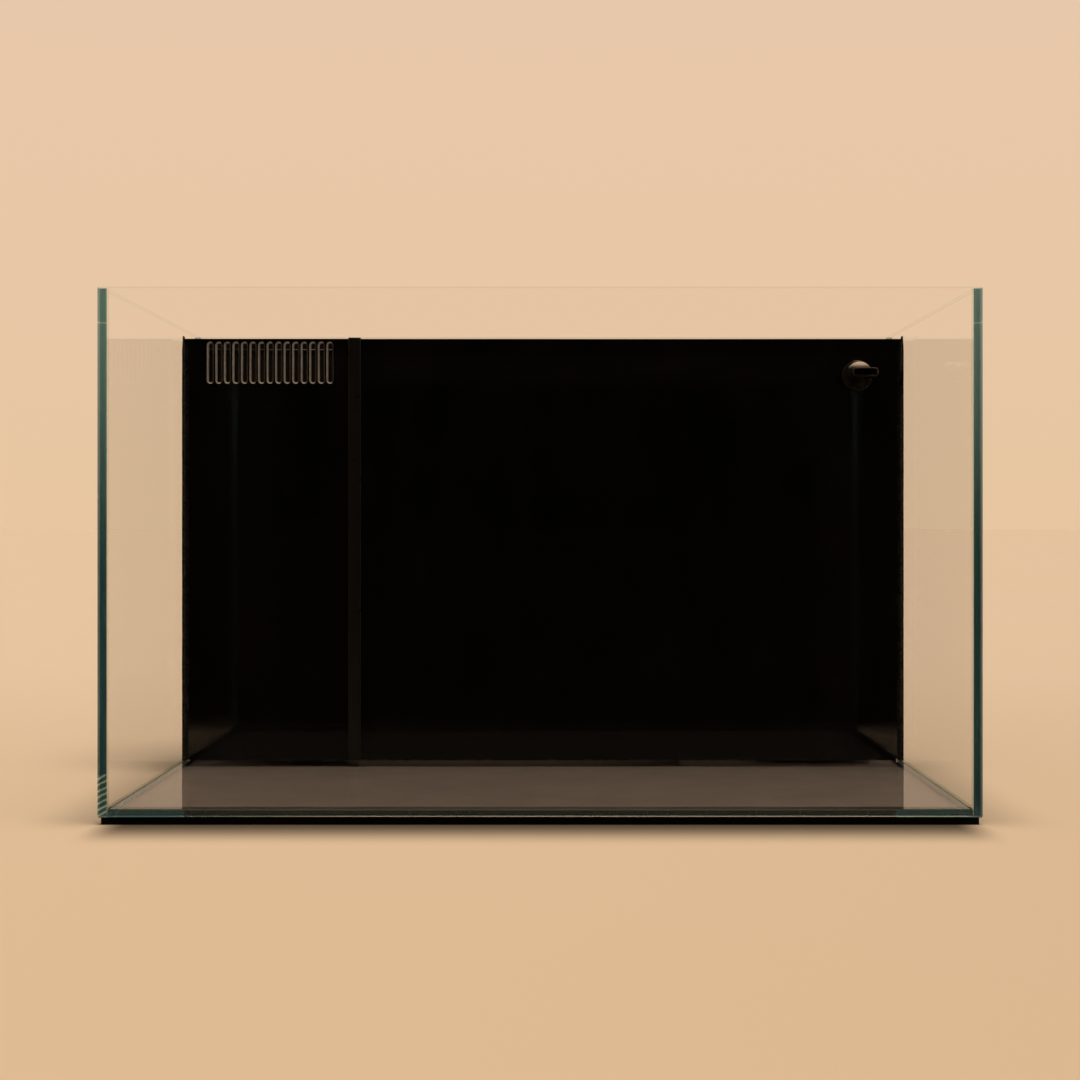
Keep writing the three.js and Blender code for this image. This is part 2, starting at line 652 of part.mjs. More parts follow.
// The ball on its hollow stem. The stem turns in the bulkhead.
function nozzleStem() {
  const bore = 3.3;
  const start = Math.asin(bore / BALL);
  const end = Math.PI - Math.asin(NECK / BALL);
  const neckEnd = FLANGE_FRONT + 0.3;
  const ball = arc(0, BALL_Y, BALL, -Math.PI / 2 + start, -Math.PI / 2 + end, 8);
  const profile = [
    [bore, ball[0][1]],
    ...ball.slice(1),
    [NECK, neckEnd],
    [BULKHEAD.stem - RUNNING, neckEnd],
    [BULKHEAD.stem - RUNNING, FLANGE_FRONT + 11.7],
    [bore, FLANGE_FRONT + 11.7],
  ];
  node("nozzle_stem", turned(profile, "Y", [NOZZLE_X, 0, NOZZLE_Z]), FINISH.blackPlastic);
}

// A tube that changes from a circle to a flat rounded slot. Each station is [y, half width, half height,
// squareness], and squareness 2 is an ellipse.
function flattened(stations, sides) {
  const ring = ([y, a, b, square]) =>
    Array.from({ length: sides }, (_, i) => {
      const angle = (2 * Math.PI * i) / sides;
      const c = Math.cos(angle);
      const s = Math.sin(angle);
      const x = a * Math.sign(c) * Math.abs(c) ** (2 / square);
      const z = b * Math.sign(s) * Math.abs(s) ** (2 / square);
      return [NOZZLE_X + x, y, NOZZLE_Z + z];
    });
  const vertices = [...stations.flatMap(ring)];
  const last = (stations.length - 1) * sides;
  vertices.push([NOZZLE_X, stations[0][0], NOZZLE_Z], [NOZZLE_X, stations.at(-1)[0], NOZZLE_Z]);
  const firstCap = vertices.length - 2;
  const lastCap = vertices.length - 1;
  const faces = [];
  for (let i = 0; i < sides; i++) {
    const next = (i + 1) % sides;
    for (let s = 0; s < last; s += sides) {
      faces.push(s + i, s + next, s + sides + next, s + i, s + sides + next, s + sides + i);
    }
    faces.push(firstCap, next, i, lastCap, last + i, last + next);
  }
  const geometry = new THREE.BufferGeometry();
  geometry.setAttribute("position", new THREE.BufferAttribute(new Float32Array(vertices.flat()), 3));
  geometry.setIndex(faces);
  return geometry;
}

// The nozzle snaps over the ball and flattens into a wide slot.
function nozzleMouth() {
  const { width, height, wall } = MOUTH;
  const lip = 3.5; // the socket reaches this far behind the centre of the ball
  const outside = flattened(
    [
      [BALL_Y - 3, 9.6, 9.6, 2],
      [BALL_Y - 10, 9.2, 8.2, 2.2],
      [BALL_Y - 18, 9.6, 5.4, 3],
      [BALL_Y - 25, width / 2, height / 2, 5],
      [MOUTH_Y, width / 2, height / 2, 6],
    ],
    20,
  );
  const inside = flattened(
    [
      [BALL_Y - 4, 6.4, 6.4, 2],
      [BALL_Y - 10, 7.2, 6, 2.2],
      [BALL_Y - 18, 8.3, 4, 3],
      [BALL_Y - 25, width / 2 - wall, height / 2 - wall, 5],
      [MOUTH_Y - 1, width / 2 - wall, height / 2 - wall, 6],
    ],
    20,
  );
  const sphere = (radius) => new THREE.SphereGeometry(radius, 20, 12).translate(NOZZLE_X, BALL_Y, NOZZLE_Z);
  const behind = block(
    [NOZZLE_X - 15, BALL_Y + lip, NOZZLE_Z - 15],
    [NOZZLE_X + 15, BALL_Y + 15, NOZZLE_Z + 15],
  );
  node("nozzle_mouth", cut(join(sphere(SOCKET), outside), inside, sphere(BALL + 2 * RUNNING), behind), FINISH.blackPlastic);
}

// ---- return pump ----------------------------------------------------------------------------------

const PUMP = { housingFrom: 224, housingTo: 276, volute: 201, cage: 184, half: 22, seat: 3.4 };
const ROTOR_END = 252;
const SHAFT = 1.5;
const DIAL_PIVOT = 2.3;
const FOOT_HEIGHT = PUMP_Z - PUMP.half - FLOOR;

function pumpBody() {
  const { housingFrom, housingTo, volute, half, seat } = PUMP;
  const at = [0, PUMP_Y, PUMP_Z];
  const section = roundedRectangle(PUMP_Y - half, PUMP_Z - half, PUMP_Y + half, PUMP_Z + half, 9);
  const outline = section.getPoints(4).map((p) => [p.x, p.y]).slice(0, -1);
  const studHoles = footPlaces().map(([x, y]) => rod(2.3, PUMP_Z - half - 1, PUMP_Z - half + 4.5, "Z", [x, y, 0], 12));
  const housing = cut(
    prism(outline, "X", housingFrom, housingTo),
    rod(11.3, housingFrom - 1, ROTOR_END + 4, "X", at, 20),
    rod(seat, ROTOR_END + 2, ROTOR_END + 9, "X", at, 16),
    rod(4.3, PUMP_Z + half - 5, PUMP_Z + half + 1, "Z", [264, PUMP_Y, 0], 16),
    ...studHoles,
  );
  node("pump_housing", housing, FINISH.pumpShell);

  const voluteEnd = housingFrom - CLEAR;
  const outlet = turned(barbProfile(4.2, BARB_LENGTH), "Z", [OUTLET_X, PUMP_Y, OUTLET_SHOULDER], 16);
  const casing = join(
    rod(21, volute, voluteEnd, "X", at, 20),
    rod(8.4, PUMP_Z, OUTLET_SHOULDER, "Z", [OUTLET_X, PUMP_Y, 0], 20),
    outlet,
  );
  const hollowed = cut(
    casing,
    rod(17.5, volute + 2.5, voluteEnd + 1, "X", at, 20),
    rod(4.2, PUMP_Z + 10, OUTLET_SHOULDER + BARB_LENGTH + 1, "Z", [OUTLET_X, PUMP_Y, 0], 16),
    rod(8.5, volute - 1, volute + 4, "X", at, 20),
  );
  const arms = [0, 1, 2].map((i) => {
    const arm = block([volute, -1, seat + 0.4], [volute + 2.5, 1, 9.5]);
    arm.applyMatrix4(new THREE.Matrix4().makeRotationX((i * 2 * Math.PI) / 3));
    return arm.translate(0, PUMP_Y, PUMP_Z);
  });
  const hub = turned(ringProfile(seat, seat + 1.4, volute, volute + 5), "X", at, 16);
  node("pump_volute", join(hollowed, hub, ...arms), FINISH.pumpShell);
}

function pumpRotor() {
  const { volute, seat } = PUMP;
  const at = [0, PUMP_Y, PUMP_Z];
  const bladesFrom = volute + 6.2;
  const discFrom = volute + 17.5;
  const sleeve = turned(ringProfile(SHAFT + RUNNING, 4, bladesFrom, ROTOR_END), "X", at, 16);
  const disc = turned(ringProfile(3, 15, discFrom, discFrom + 2.5), "X", at, 20);
  const blades = Array.from({ length: 6 }, (_, i) => {
    const blade = block([bladesFrom, -0.8, 3], [discFrom + 1, 0.8, 15]);
    blade.applyMatrix4(new THREE.Matrix4().makeRotationX((i * Math.PI) / 3));
    return blade.translate(0, PUMP_Y, PUMP_Z);
  });
  node("impeller", join(sleeve, disc, ...blades), FINISH.nylon);
  const magnet = ringProfile(4 + CLEAR, 10.6, discFrom + 2.5 + CLEAR, ROTOR_END - 0.5);
  node("rotor_magnet", turned(magnet, "X", at, 20), FINISH.magnet);
  node("pump_shaft", rod(SHAFT, volute + 0.5, ROTOR_END + 8, "X", at, 12), FINISH.ceramic);
  node("bush_front", turned(ringProfile(SHAFT + RUNNING, seat - CLEAR, volute, volute + 5.6), "X", at, 16), FINISH.rubber);
  const rearBush = ringProfile(SHAFT + RUNNING, seat - CLEAR, ROTOR_END + 1, ROTOR_END + 8.5);
  node("bush_rear", turned(rearBush, "X", at, 16), FINISH.rubber);
}

// A strainer cup over the intake, with a dial on its face that closes two windows to cut the flow.
function intakeCage() {
  const { cage, volute } = PUMP;
  const at = [0, PUMP_Y, PUMP_Z];
  const mouth = volute - CLEAR;
  const cup = [[0, cage], [19.5, cage], [20.5, cage + 1], [20.5, mouth], [18.5, mouth], [18.5, cage + 2], [0, cage + 2]];
  const slots = Array.from({ length: 12 }, (_, i) => {
    const slot = block([cage + 4.5, -1.6, 16], [mouth - 2, 1.6, 22]);
    slot.applyMatrix4(new THREE.Matrix4().makeRotationX(((i + 0.5) * Math.PI) / 6));
    return slot.translate(0, PUMP_Y, PUMP_Z);
  });
  const windows = (radius, from, to) =>
    [-10, 10].map((offset) => rod(radius, from, to, "X", [0, PUMP_Y + offset, PUMP_Z], 16));
  const pivot = rod(DIAL_PIVOT + RUNNING, cage - 1, cage + 3, "X", at, 16);
  node("intake_cage", cut(turned(cup, "X", at, 20), pivot, ...slots, ...windows(5, cage - 1, cage + 3)), FINISH.pumpShell);

  const face = cage - CLEAR;
  const dial = [
    [0, face - 2],
    [16.2, face - 2],
    [17, face - 1.2],
    [17, face],
    [DIAL_PIVOT, face],
    [DIAL_PIVOT, cage + 4],
    [0, cage + 4],
  ];
  const grip = easedBlock([face - 6, PUMP_Y - 1.8, PUMP_Z - 12], [face - 1.5, PUMP_Y + 1.8, PUMP_Z + 12], 0.5);
  const open = windows(5.2, face - 3, face + 1);
  node("flow_dial", join(cut(turned(dial, "X", at, 20), ...open), grip), FINISH.blackPlastic);
}

function footPlaces() {
  return [234, 266].flatMap((x) => [-14, 14].map((offset) => [x, PUMP_Y + offset]));
}

function pumpFittings() {
  const cup = [
    [0, 1.4],
    [5.5, TOUCH],
    [8, TOUCH],
    [7.6, 1],
    [3.6, 3.6],
    [3.6, FOOT_HEIGHT - CLEAR],
    [2, FOOT_HEIGHT - CLEAR],
    [2, FOOT_HEIGHT + 4],
    [0, FOOT_HEIGHT + 4],
  ];
  footPlaces().forEach(([x, y], i) => {
    node(`pump_foot_${i + 1}`, turned(cup, "Z", [x, y, FLOOR], 14), FINISH.rubber);
  });
  const base = PUMP_Z + PUMP.half;
  const gland = [[0, -4.6], [4, -4.6], [4, CLEAR], [5.6, CLEAR], [5.6, 2], [3.6, 13], [2.6, 13], [2.6, 4], [0, 4]];
  node("cord_gland", turned(gland, "Z", [264, PUMP_Y, base], 14), FINISH.rubber);
}

// ---- assembly -------------------------------------------------------------------------------------

glassBox();
clearSeams();
matAndFilm();
wallPanels();
panelJoiner();
wallBeads();
baffles();
mediaBasket();
bulkhead();
returnElbow();
returnHose();
nozzleStem();
nozzleMouth();
pumpBody();
pumpRotor();
intakeCage();
pumpFittings();

export default tank;
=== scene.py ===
"""Looks of a rimless all-in-one glass aquarium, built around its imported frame.

The frame's nodes give every place. Each operator makes one group of pieces in metres, in the frame's own
axes: +Z up, the viewing pane on the -Y side, the filter chambers along the rear pane.
"""

import json
import math

import bmesh
import bpy
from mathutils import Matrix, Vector
from mathutils.noise import noise as noise_at


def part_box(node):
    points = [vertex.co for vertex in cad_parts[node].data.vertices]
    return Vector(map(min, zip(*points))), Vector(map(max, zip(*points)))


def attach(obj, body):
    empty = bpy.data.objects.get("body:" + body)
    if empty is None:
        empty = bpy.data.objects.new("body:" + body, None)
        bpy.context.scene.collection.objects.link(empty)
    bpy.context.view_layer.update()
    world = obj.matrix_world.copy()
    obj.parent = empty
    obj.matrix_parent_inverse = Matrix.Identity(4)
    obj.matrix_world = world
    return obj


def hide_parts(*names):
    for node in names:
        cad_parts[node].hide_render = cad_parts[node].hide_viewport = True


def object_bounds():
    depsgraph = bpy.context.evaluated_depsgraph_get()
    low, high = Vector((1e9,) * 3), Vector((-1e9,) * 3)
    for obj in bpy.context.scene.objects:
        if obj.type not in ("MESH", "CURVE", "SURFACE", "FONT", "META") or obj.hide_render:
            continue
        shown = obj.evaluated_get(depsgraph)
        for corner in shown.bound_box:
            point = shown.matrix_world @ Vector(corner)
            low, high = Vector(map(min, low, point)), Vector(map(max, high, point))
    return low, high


bl_info = {
    "name": "Glass Aquarium",
    "version": (1, 0, 0),
    "blender": (4, 5, 0),
    "location": "View3D > Sidebar > Aquarium",
    "description": "Builds the glass, acrylic, filter and fittings of a rimless aquarium",
    "category": "Object",
}

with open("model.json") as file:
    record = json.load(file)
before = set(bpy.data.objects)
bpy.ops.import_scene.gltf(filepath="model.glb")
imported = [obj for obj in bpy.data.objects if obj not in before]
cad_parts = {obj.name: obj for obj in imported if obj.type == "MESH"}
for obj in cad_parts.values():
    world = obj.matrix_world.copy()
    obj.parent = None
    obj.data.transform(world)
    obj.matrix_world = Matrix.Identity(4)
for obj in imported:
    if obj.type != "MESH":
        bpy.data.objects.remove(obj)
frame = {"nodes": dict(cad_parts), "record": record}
CAD_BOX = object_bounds()
MM = 0.001
SHARP = math.radians(32)  # an edge sharper than this keeps a crisp line in the shading


# ---- places from the frame ------------------------------------------------------------------------


def joint_place(name):
    """Where a hinge of the frame turns, in metres."""
    return next(Vector(j["pos_m"]) for j in frame["record"]["behaviour"]["joints"] if j["name"] == name)


def corners(node):
    """The low and the high corner of a node's box."""
    return [Vector(corner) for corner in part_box(node)]


WALL_LOW, WALL_HIGH = corners("weir_panel")
WALL_FACE = WALL_LOW.y
BALL = joint_place("nozzle_tilt")
PUMP = joint_place("impeller_spin")
TANK_HIGH = Vector(CAD_BOX[1])
FLOOR_TOP = corners("bottom_pane")[1].z


# ---- meshes and objects ---------------------------------------------------------------------------


def smooth(mesh, sharp=SHARP):
    mesh.shade_smooth()
    mesh.set_sharp_from_angle(angle=sharp)


def bevelled(obj, width, segments=2):
    """Rounds the edges of a piece that meet at more than the sharp angle."""
    bevel = obj.modifiers.new("rounded_edges", "BEVEL")
    bevel.limit_method = "ANGLE"
    bevel.angle_limit = SHARP
    bevel.width = width
    bevel.segments = segments
    bevel.harden_normals = False
    return obj


def as_object(name, bm):
    """Makes a bmesh an object of the scene."""
    mesh = bpy.data.meshes.new(name)
    bm.to_mesh(mesh)
    bm.free()
    obj = bpy.data.objects.new(name, mesh)
    bpy.context.scene.collection.objects.link(obj)
    return obj


def piece(name, bm, materials, node, body="tank", sharp=SHARP):
    """Turns a bmesh into a finished piece that takes the place of a node of the frame."""
    obj = as_object(name, bm)
    smooth(obj.data, sharp)
    for material in materials:
        obj.data.materials.append(material)
    settle(obj, node, body)
    return obj


def settle(obj, node, body):
    """Hangs a piece on the body it rides on and hides the node it stands for."""
    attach(obj, body)
    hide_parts(node)


def round_off(bm, axle, steps=4):
    """Bends the straight facets round an X axle into arcs: each chord is split and its points pushed out."""

    def polar(v):
        return math.hypot(v.co.y - axle.y, v.co.z - axle.z), math.atan2(v.co.z - axle.z, v.co.y - axle.y)

    for edge in list(bm.edges):
        first, last = edge.verts
        (r1, a1), (r2, a2) = polar(first), polar(last)
        swing = (a2 - a1 + math.pi) % (2 * math.pi) - math.pi
        level = abs(first.co.x - last.co.x) < 0.002 * MM and abs(r1 - r2) < 0.01 * MM
        if not level or r1 < 4 * MM or not math.radians(3) < abs(swing) < math.radians(31):
            continue
        for i in range(1, steps):
            edge, made = bmesh.utils.edge_split(edge, first, 1 / (steps - i + 1))
            edge = next(e for e in made.link_edges if last in e.verts)
            first = made
            angle = a1 + swing * i / steps
            made.co.y = axle.y + r1 * math.cos(angle)
            made.co.z = axle.z + r1 * math.sin(angle)
    bm.normal_update()
    curved = []
    for face in bm.faces:
        away = [abs((v.co - face.verts[0].co).dot(face.normal)) for v in face.verts]
        if len(face.verts) > 4 and max(away) > 0.005 * MM:
            curved.append(face)
    bmesh.ops.triangulate(bm, faces=curved)


def refined(name, node, material, width, body="tank", segments=2, axle=None):
    """A copy of a flat-sided node with its facets joined and its edges eased.

    A piece with an axle is also made truly round about it.
    """
    bm = bmesh.new()
    bm.from_mesh(frame["nodes"][node].data)
    bmesh.ops.remove_doubles(bm, verts=bm.verts, dist=0.002 * MM)
    bmesh.ops.dissolve_limit(bm, angle_limit=math.radians(1), verts=bm.verts, edges=bm.edges)
    if axle:
        round_off(bm, axle)
    return bevelled(piece(name, bm, [material], node, body), width, segments)


def skin(bm, rings, close_ends=True, close_loop=False):
    """Joins rings of points, each with the same count, into a tube."""
    made = [[bm.verts.new(p) for p in ring] for ring in rings]
    pairs = list(zip(made, made[1:]))
    if close_loop:
        pairs.append((made[-1], made[0]))
    for one, other in pairs:
        for i in range(len(one)):
            j = (i + 1) % len(one)
            bm.faces.new((one[i], one[j], other[j], other[i]))
    if close_ends and not close_loop:
        bm.faces.new(list(reversed(made[0])))
        bm.faces.new(made[-1])
    bmesh.ops.recalc_face_normals(bm, faces=bm.faces)
    return made


def box_mesh(bm, low, high, round_by, segments=2):
    """Adds a box between two corners, with rounded edges, to a bmesh."""
    low, high = Vector(low), Vector(high)
    made = bmesh.ops.create_cube(bm, size=1)["verts"]
    size, middle = high - low, (high + low) / 2
    for v in made:
        v.co = Vector(v.co[i] * size[i] + middle[i] for i in range(3))
    edges = list({e for v in made for e in v.link_edges})
    bmesh.ops.bevel(
        bm, geom=edges, offset=round_by, segments=segments, profile=0.5, affect="EDGES", clamp_overlap=True
    )


def along(axis, origin=(0, 0, 0)):
    """A function that puts (radius, angle, height) round an axis through a point."""
    origin = Vector(origin)
    run = "XYZ".index(axis)
    u, v, w = (Vector([i == (run + turn) % 3 for i in range(3)]) for turn in (1, 2, 0))
    return lambda r, angle, h: origin + u * (r * math.cos(angle)) + v * (r * math.sin(angle)) + w * h


def turn(bm, profile, axis, origin, sides=48):
    """Turns a profile of (radius, height) pairs in millimetres round an axis.

    A profile that starts off the axis is closed into a ring. One that starts on it ends on it too.
    """
    put = along(axis, origin)
    step = 2 * math.pi / sides
    ring = profile[0][0] > 0
    rows = []
    for r, h in profile:
        if r == 0:
            rows.append([bm.verts.new(put(0, 0, h * MM))])
        else:
            rows.append([bm.verts.new(put(r * MM, i * step, h * MM)) for i in range(sides)])
    pairs = list(zip(rows, rows[1:]))
    if ring:
        pairs.append((rows[-1], rows[0]))
    for one, other in pairs:
        for i in range(sides):
            j = (i + 1) % sides
            corners = [one[i % len(one)], one[j % len(one)], other[j % len(other)], other[i % len(other)]]
            bm.faces.new(list(dict.fromkeys(corners)))
    bmesh.ops.recalc_face_normals(bm, faces=bm.faces)


def arc(cx, cy, radius, start, end, steps):
    """Points of a circular arc, both ends included, angles in degrees."""
    turns = [math.radians(start + (end - start) * i / steps) for i in range(steps + 1)]
    return [(cx + radius * math.cos(a), cy + radius * math.sin(a)) for a in turns]


def wobble(s, seed):
    """A smooth hand-made unevenness between about -1 and 1 along a length in metres."""
    return (
        0.5 * math.sin(s * 61 + seed * 1.7)
        + 0.3 * math.sin(s * 143 + seed * 2.9)
        + 0.2 * math.sin(s * 317 + seed * 5.3)
    )


# ---- material helpers -----------------------------------------------------------------------------


def linear(code):
    """A colour written as sRGB hex, as linear RGBA."""
    values = [int(code[i : i + 2], 16) / 255 for i in (1, 3, 5)]
    return (*[v / 12.92 if v <= 0.04045 else ((v + 0.055) / 1.055) ** 2.4 for v in values], 1)


def add(tree, kind, settings=None, inputs=None):
    """Adds a node with its settings, and its inputs as values or as the sockets that feed them."""
    node = tree.nodes.new(kind)
    for key, value in (settings or {}).items():
        setattr(node, key, value)
    for key, value in (inputs or {}).items():
        if isinstance(value, bpy.types.NodeSocket):
            tree.links.new(value, node.inputs[key])
        else:
            node.inputs[key].default_value = value
    return node


def blank(name):
    """An empty material. Returns it with its tree and its object coordinates."""
    material = bpy.data.materials.new(name)
    material.use_nodes = True
    tree = material.node_tree
    tree.nodes.clear()
    return material, tree, add(tree, "ShaderNodeTexCoord").outputs["Object"]


def shown(material, shader):
    """The material, with a shader as its surface."""
    add(material.node_tree, "ShaderNodeOutputMaterial", inputs={"Surface": shader.outputs[0]})
    return material


def plain_surface(material, inputs):
    """The material, with one Principled shader as its surface."""
    return shown(material, add(material.node_tree, "ShaderNodeBsdfPrincipled", inputs=inputs))


def mixed(tree, share, first, second):
    """Two shaders in one: the share says how much of the second there is."""
    return add(tree, "ShaderNodeMixShader", inputs={0: share, 1: first.outputs[0], 2: second.outputs[0]})


def clear(tree, colour):
    """Light that goes straight through, tinted."""
    return add(tree, "ShaderNodeBsdfTransparent", inputs={"Color": linear(colour)})


def calculate(tree, operation, first, second=0.0):
    """What a Math node makes of one or two values."""
    return add(tree, "ShaderNodeMath", {"operation": operation}, {0: first, 1: second}).outputs[0]


def product(tree, *values):
    """All the values multiplied."""
    result = values[0]
    for value in values[1:]:
        result = calculate(tree, "MULTIPLY", result, value)
    return result


def split(tree, vector):
    """The X, Y and Z sockets of a vector."""
    return add(tree, "ShaderNodeSeparateXYZ", inputs={"Vector": vector}).outputs


def scaled(tree, value, start, end, low=0, high=1, kind="LINEAR"):
    """A number that runs from low to high as the value runs from start to end."""
    inputs = {"Value": value, "From Min": start, "From Max": end, "To Min": low, "To Max": high}
    return add(tree, "ShaderNodeMapRange", {"interpolation_type": kind}, inputs).outputs[0]


def between(tree, factor, low, high):
    """A number that runs from low to high as the factor runs over the middle of a noise."""
    return scaled(tree, factor, 0.3, 0.7, low, high)


def switched(tree, switch, off, on):
    """A number that is off at 0 and on at 1."""
    return scaled(tree, switch, 0, 1, off, on)


def ramp(tree, value, start, end):
    """0 up to the start and 1 past the end, smooth between them."""
    return scaled(tree, value, start, end, kind="SMOOTHSTEP")


def noise(tree, place, size_mm, detail=3, stretch=(1, 1, 1)):
    """Noise whose blobs are about size_mm across, stretched along the axes."""
    spread = add(tree, "ShaderNodeMapping", inputs={"Vector": place, "Scale": [1 / s for s in stretch]})
    inputs = {"Vector": spread.outputs[0], "Scale": 1000 / size_mm, "Detail": detail}
    return add(tree, "ShaderNodeTexNoise", inputs=inputs).outputs["Fac"]


def blend(tree, factor, first, second):
    """A colour between two, each given as a value or a socket."""
    colours = {"Factor": factor, 6: first, 7: second}
    return add(tree, "ShaderNodeMix", {"data_type": "RGBA"}, colours).outputs[2]


def tint(tree, factor, first, second):
    """A colour between two hex codes, by a noise."""
    return blend(tree, between(tree, factor, 0, 1), linear(first), linear(second))


def relief(tree, height, depth_mm):
    """A bump of the given depth."""
    inputs = {"Height": height, "Distance": depth_mm * MM, "Strength": 1.0}
    return add(tree, "ShaderNodeBump", inputs=inputs).outputs[0]


def surface(name, colours, colour_mm, roughness, grain_mm, grain_depth_mm, stretch=(1, 1, 1), **more):
    """A solid finish: two close colours in broad patches, uneven roughness and a fine grain in relief."""
    material, tree, place = blank(name)
    patches = noise(tree, place, colour_mm)
    grain = noise(tree, place, grain_mm, 4, stretch)
    inputs = {
        "Base Color": tint(tree, patches, *colours),
        "Roughness": between(tree, noise(tree, place, colour_mm * 0.6, 5, stretch), *roughness),
        "Normal": relief(tree, grain, grain_depth_mm),
        **more,
    }
    return plain_surface(material, inputs)


# ---- finishes -------------------------------------------------------------------------------------

FINISH = {}

# Where the painted light and shade on the glass edges lie, in metres.
DARK_MIDDLE = 0.242  # half the length of the floor pane's edge that looks darker
EDGE_PALES = (0.16, 0.38)  # heights between which an upright edge turns paler
GLINT_HEIGHT = 0.3409  # height of the pale line across an upright edge, near the rim
STREAKED_BELOW = 0.034  # height under which the left edges are streaked
STREAKED_PAST = Vector((0.294, 0.172))  # the streaks are only on the corners beyond this
STREAK_SCALE = 85  # how tightly the streaks are packed


def float_glass(name, settings, kept_mirror, kept_inside):
    """Clear float glass: dead smooth, so all the eye gets is a mirror that grows at a glancing angle."""
    material, tree, place = blank(name)
    inside = add(tree, "ShaderNodeNewGeometry").outputs["Backfacing"]
    # Seen from within the sheet the ratio turns over, so that both faces mirror alike.
    index = switched(tree, inside, settings.glass_index, 1 / settings.glass_index)
    bare = add(tree, "ShaderNodeFresnel", inputs={"IOR": index}).outputs[0]
    share = product(tree, bare, switched(tree, inside, kept_mirror, kept_inside))
    wiped = between(tree, noise(tree, place, 60, 3, (1, 1, 3)), 0.0, 0.025)
    mirror = add(tree, "ShaderNodeBsdfGlossy", inputs={"Color": linear("#FFFFFF"), "Roughness": wiped})
    return shown(material, mixed(tree, share, clear(tree, settings.glass_tint), mirror))


def glass_edge(name, settings, window_inside):
    """The polished edge of float glass: a deep blue-green, with painted light that pales it towards the rim.
    """
    material, tree, place = blank(name)
    bands = noise(tree, place, 5, 3, (1, 12, 12))
    wheel = noise(tree, place, 0.5)
    here = split(tree, place)
    height = here["Z"]
    # Painted shade: the floor pane's edge is darker along its middle than at its ends, as shade from the black
    # wall behind it.
    aside = calculate(tree, "ABSOLUTE", here["X"])
    middle = ramp(tree, aside, DARK_MIDDLE + 0.5 * MM, DARK_MIDDLE - 0.5 * MM)
    painted_middle_shade = product(tree, middle, ramp(tree, height, 2 * FLOOR_TOP, 1.5 * FLOOR_TOP))
    colour = tint(tree, bands, settings.edge_deep, settings.edge_mid)
    # Painted light: the upright edges pale towards the rim.
    colour = blend(tree, ramp(tree, height, *EDGE_PALES), colour, linear(settings.edge_painted_light))
    colour = blend(tree, product(tree, painted_middle_shade, 0.85), colour, linear("#06131A"))
    # A painted glint crosses the upright edges near the rim, and painted light lies in pale slanted streaks
    # low on the left ones.
    above = ramp(tree, height, GLINT_HEIGHT - 0.9 * MM, GLINT_HEIGHT - 0.4 * MM)
    painted_glint = product(tree, above, ramp(tree, height, GLINT_HEIGHT + 0.9 * MM, GLINT_HEIGHT + 0.3 * MM))
    slanted = add(tree, "ShaderNodeMapping", inputs={"Vector": place, "Rotation": (0, math.radians(28), 0)})
    wave = {"Vector": slanted.outputs[0], "Scale": STREAK_SCALE, "Distortion": 1.5, "Detail Scale": 3}
    streaks = add(tree, "ShaderNodeTexWave", {"bands_direction": "Z"}, wave).outputs["Fac"]
    deep_in = calculate(tree, "ABSOLUTE", here["Y"])
    past = STREAKED_PAST
    leftmost = ramp(tree, here["X"], -past.x, -past.x - 0.5 * MM)
    corner = product(tree, leftmost, ramp(tree, deep_in, past.y, past.y + 0.5 * MM))
    low_end = product(tree, ramp(tree, height, STREAKED_BELOW, STREAKED_BELOW - 0.5 * MM), corner)
    painted_light_streaks = product(tree, ramp(tree, streaks, 0.6, 0.85), low_end)
    pale = calculate(tree, "MAXIMUM", painted_glint, painted_light_streaks)
    # The low left corners are painted paler, under the streaks of painted light.
    colour = blend(tree, product(tree, low_end, 0.35), colour, linear("#4F8A88"))
    colour = blend(tree, product(tree, pale, 0.8), colour, linear("#C5E6E8"))
    inputs = {
        "Base Color": colour,
        "Roughness": between(tree, bands, 0.12, 0.3),
        "IOR": 1.52,
        "Normal": relief(tree, wheel, 0.01),
    }
    body = add(tree, "ShaderNodeBsdfPrincipled", inputs=inputs)
    # From inside the sheet an edge is a clean window, and only tints what is behind it.
    inside = add(tree, "ShaderNodeNewGeometry").outputs["Backfacing"]
    window = switched(tree, inside, 0.0, window_inside)
    return shown(material, mixed(tree, window, body, clear(tree, "#FAFDFB")))


def clear_body(tree, share, window, inputs):
    """A see-through solid: a small share of it is a Principled body, the rest is a tinted window."""
    return mixed(tree, share, clear(tree, window), add(tree, "ShaderNodeBsdfPrincipled", inputs=inputs))


def glass_arris():
    """The narrow ground bevel along a pane's edges: faintly frosted, so the rim shows as a thin pale line."""
    material, tree, place = blank("ground_glass_arris")
    grain = noise(tree, place, 0.4, 3)
    inputs = {
        "Base Color": tint(tree, noise(tree, place, 9), "#6F8B84", "#8FA9A0"),
        "Roughness": between(tree, grain, 0.3, 0.5),
        "Normal": relief(tree, grain, 0.02),
        "IOR": 1.52,
    }
    return shown(material, clear_body(tree, 0.05, "#FAFCFB", inputs))


def clear_silicone():
    """Cured clear silicone: see-through with a faint milkiness and a wet gloss."""
    material, tree, place = blank("clear_silicone")
    ripple = noise(tree, place, 6, 2)
    inputs = {
        "Base Color": tint(tree, ripple, "#B9C4BF", "#CBD5D0"),
        "Roughness": between(tree, noise(tree, place, 3), 0.12, 0.26),
        "Normal": relief(tree, ripple, 0.15),
        "IOR": 1.41,
    }
    milky = clear_body(tree, 0.01, "#F6FAF8", inputs)
    gloss = add(tree, "ShaderNodeBsdfGlossy", inputs={"Roughness": 0.2, "Normal": inputs["Normal"]})
    facing = add(tree, "ShaderNodeLayerWeight").outputs["Facing"]
    return shown(material, mixed(tree, product(tree, facing, facing, facing, 0.06), milky, gloss))


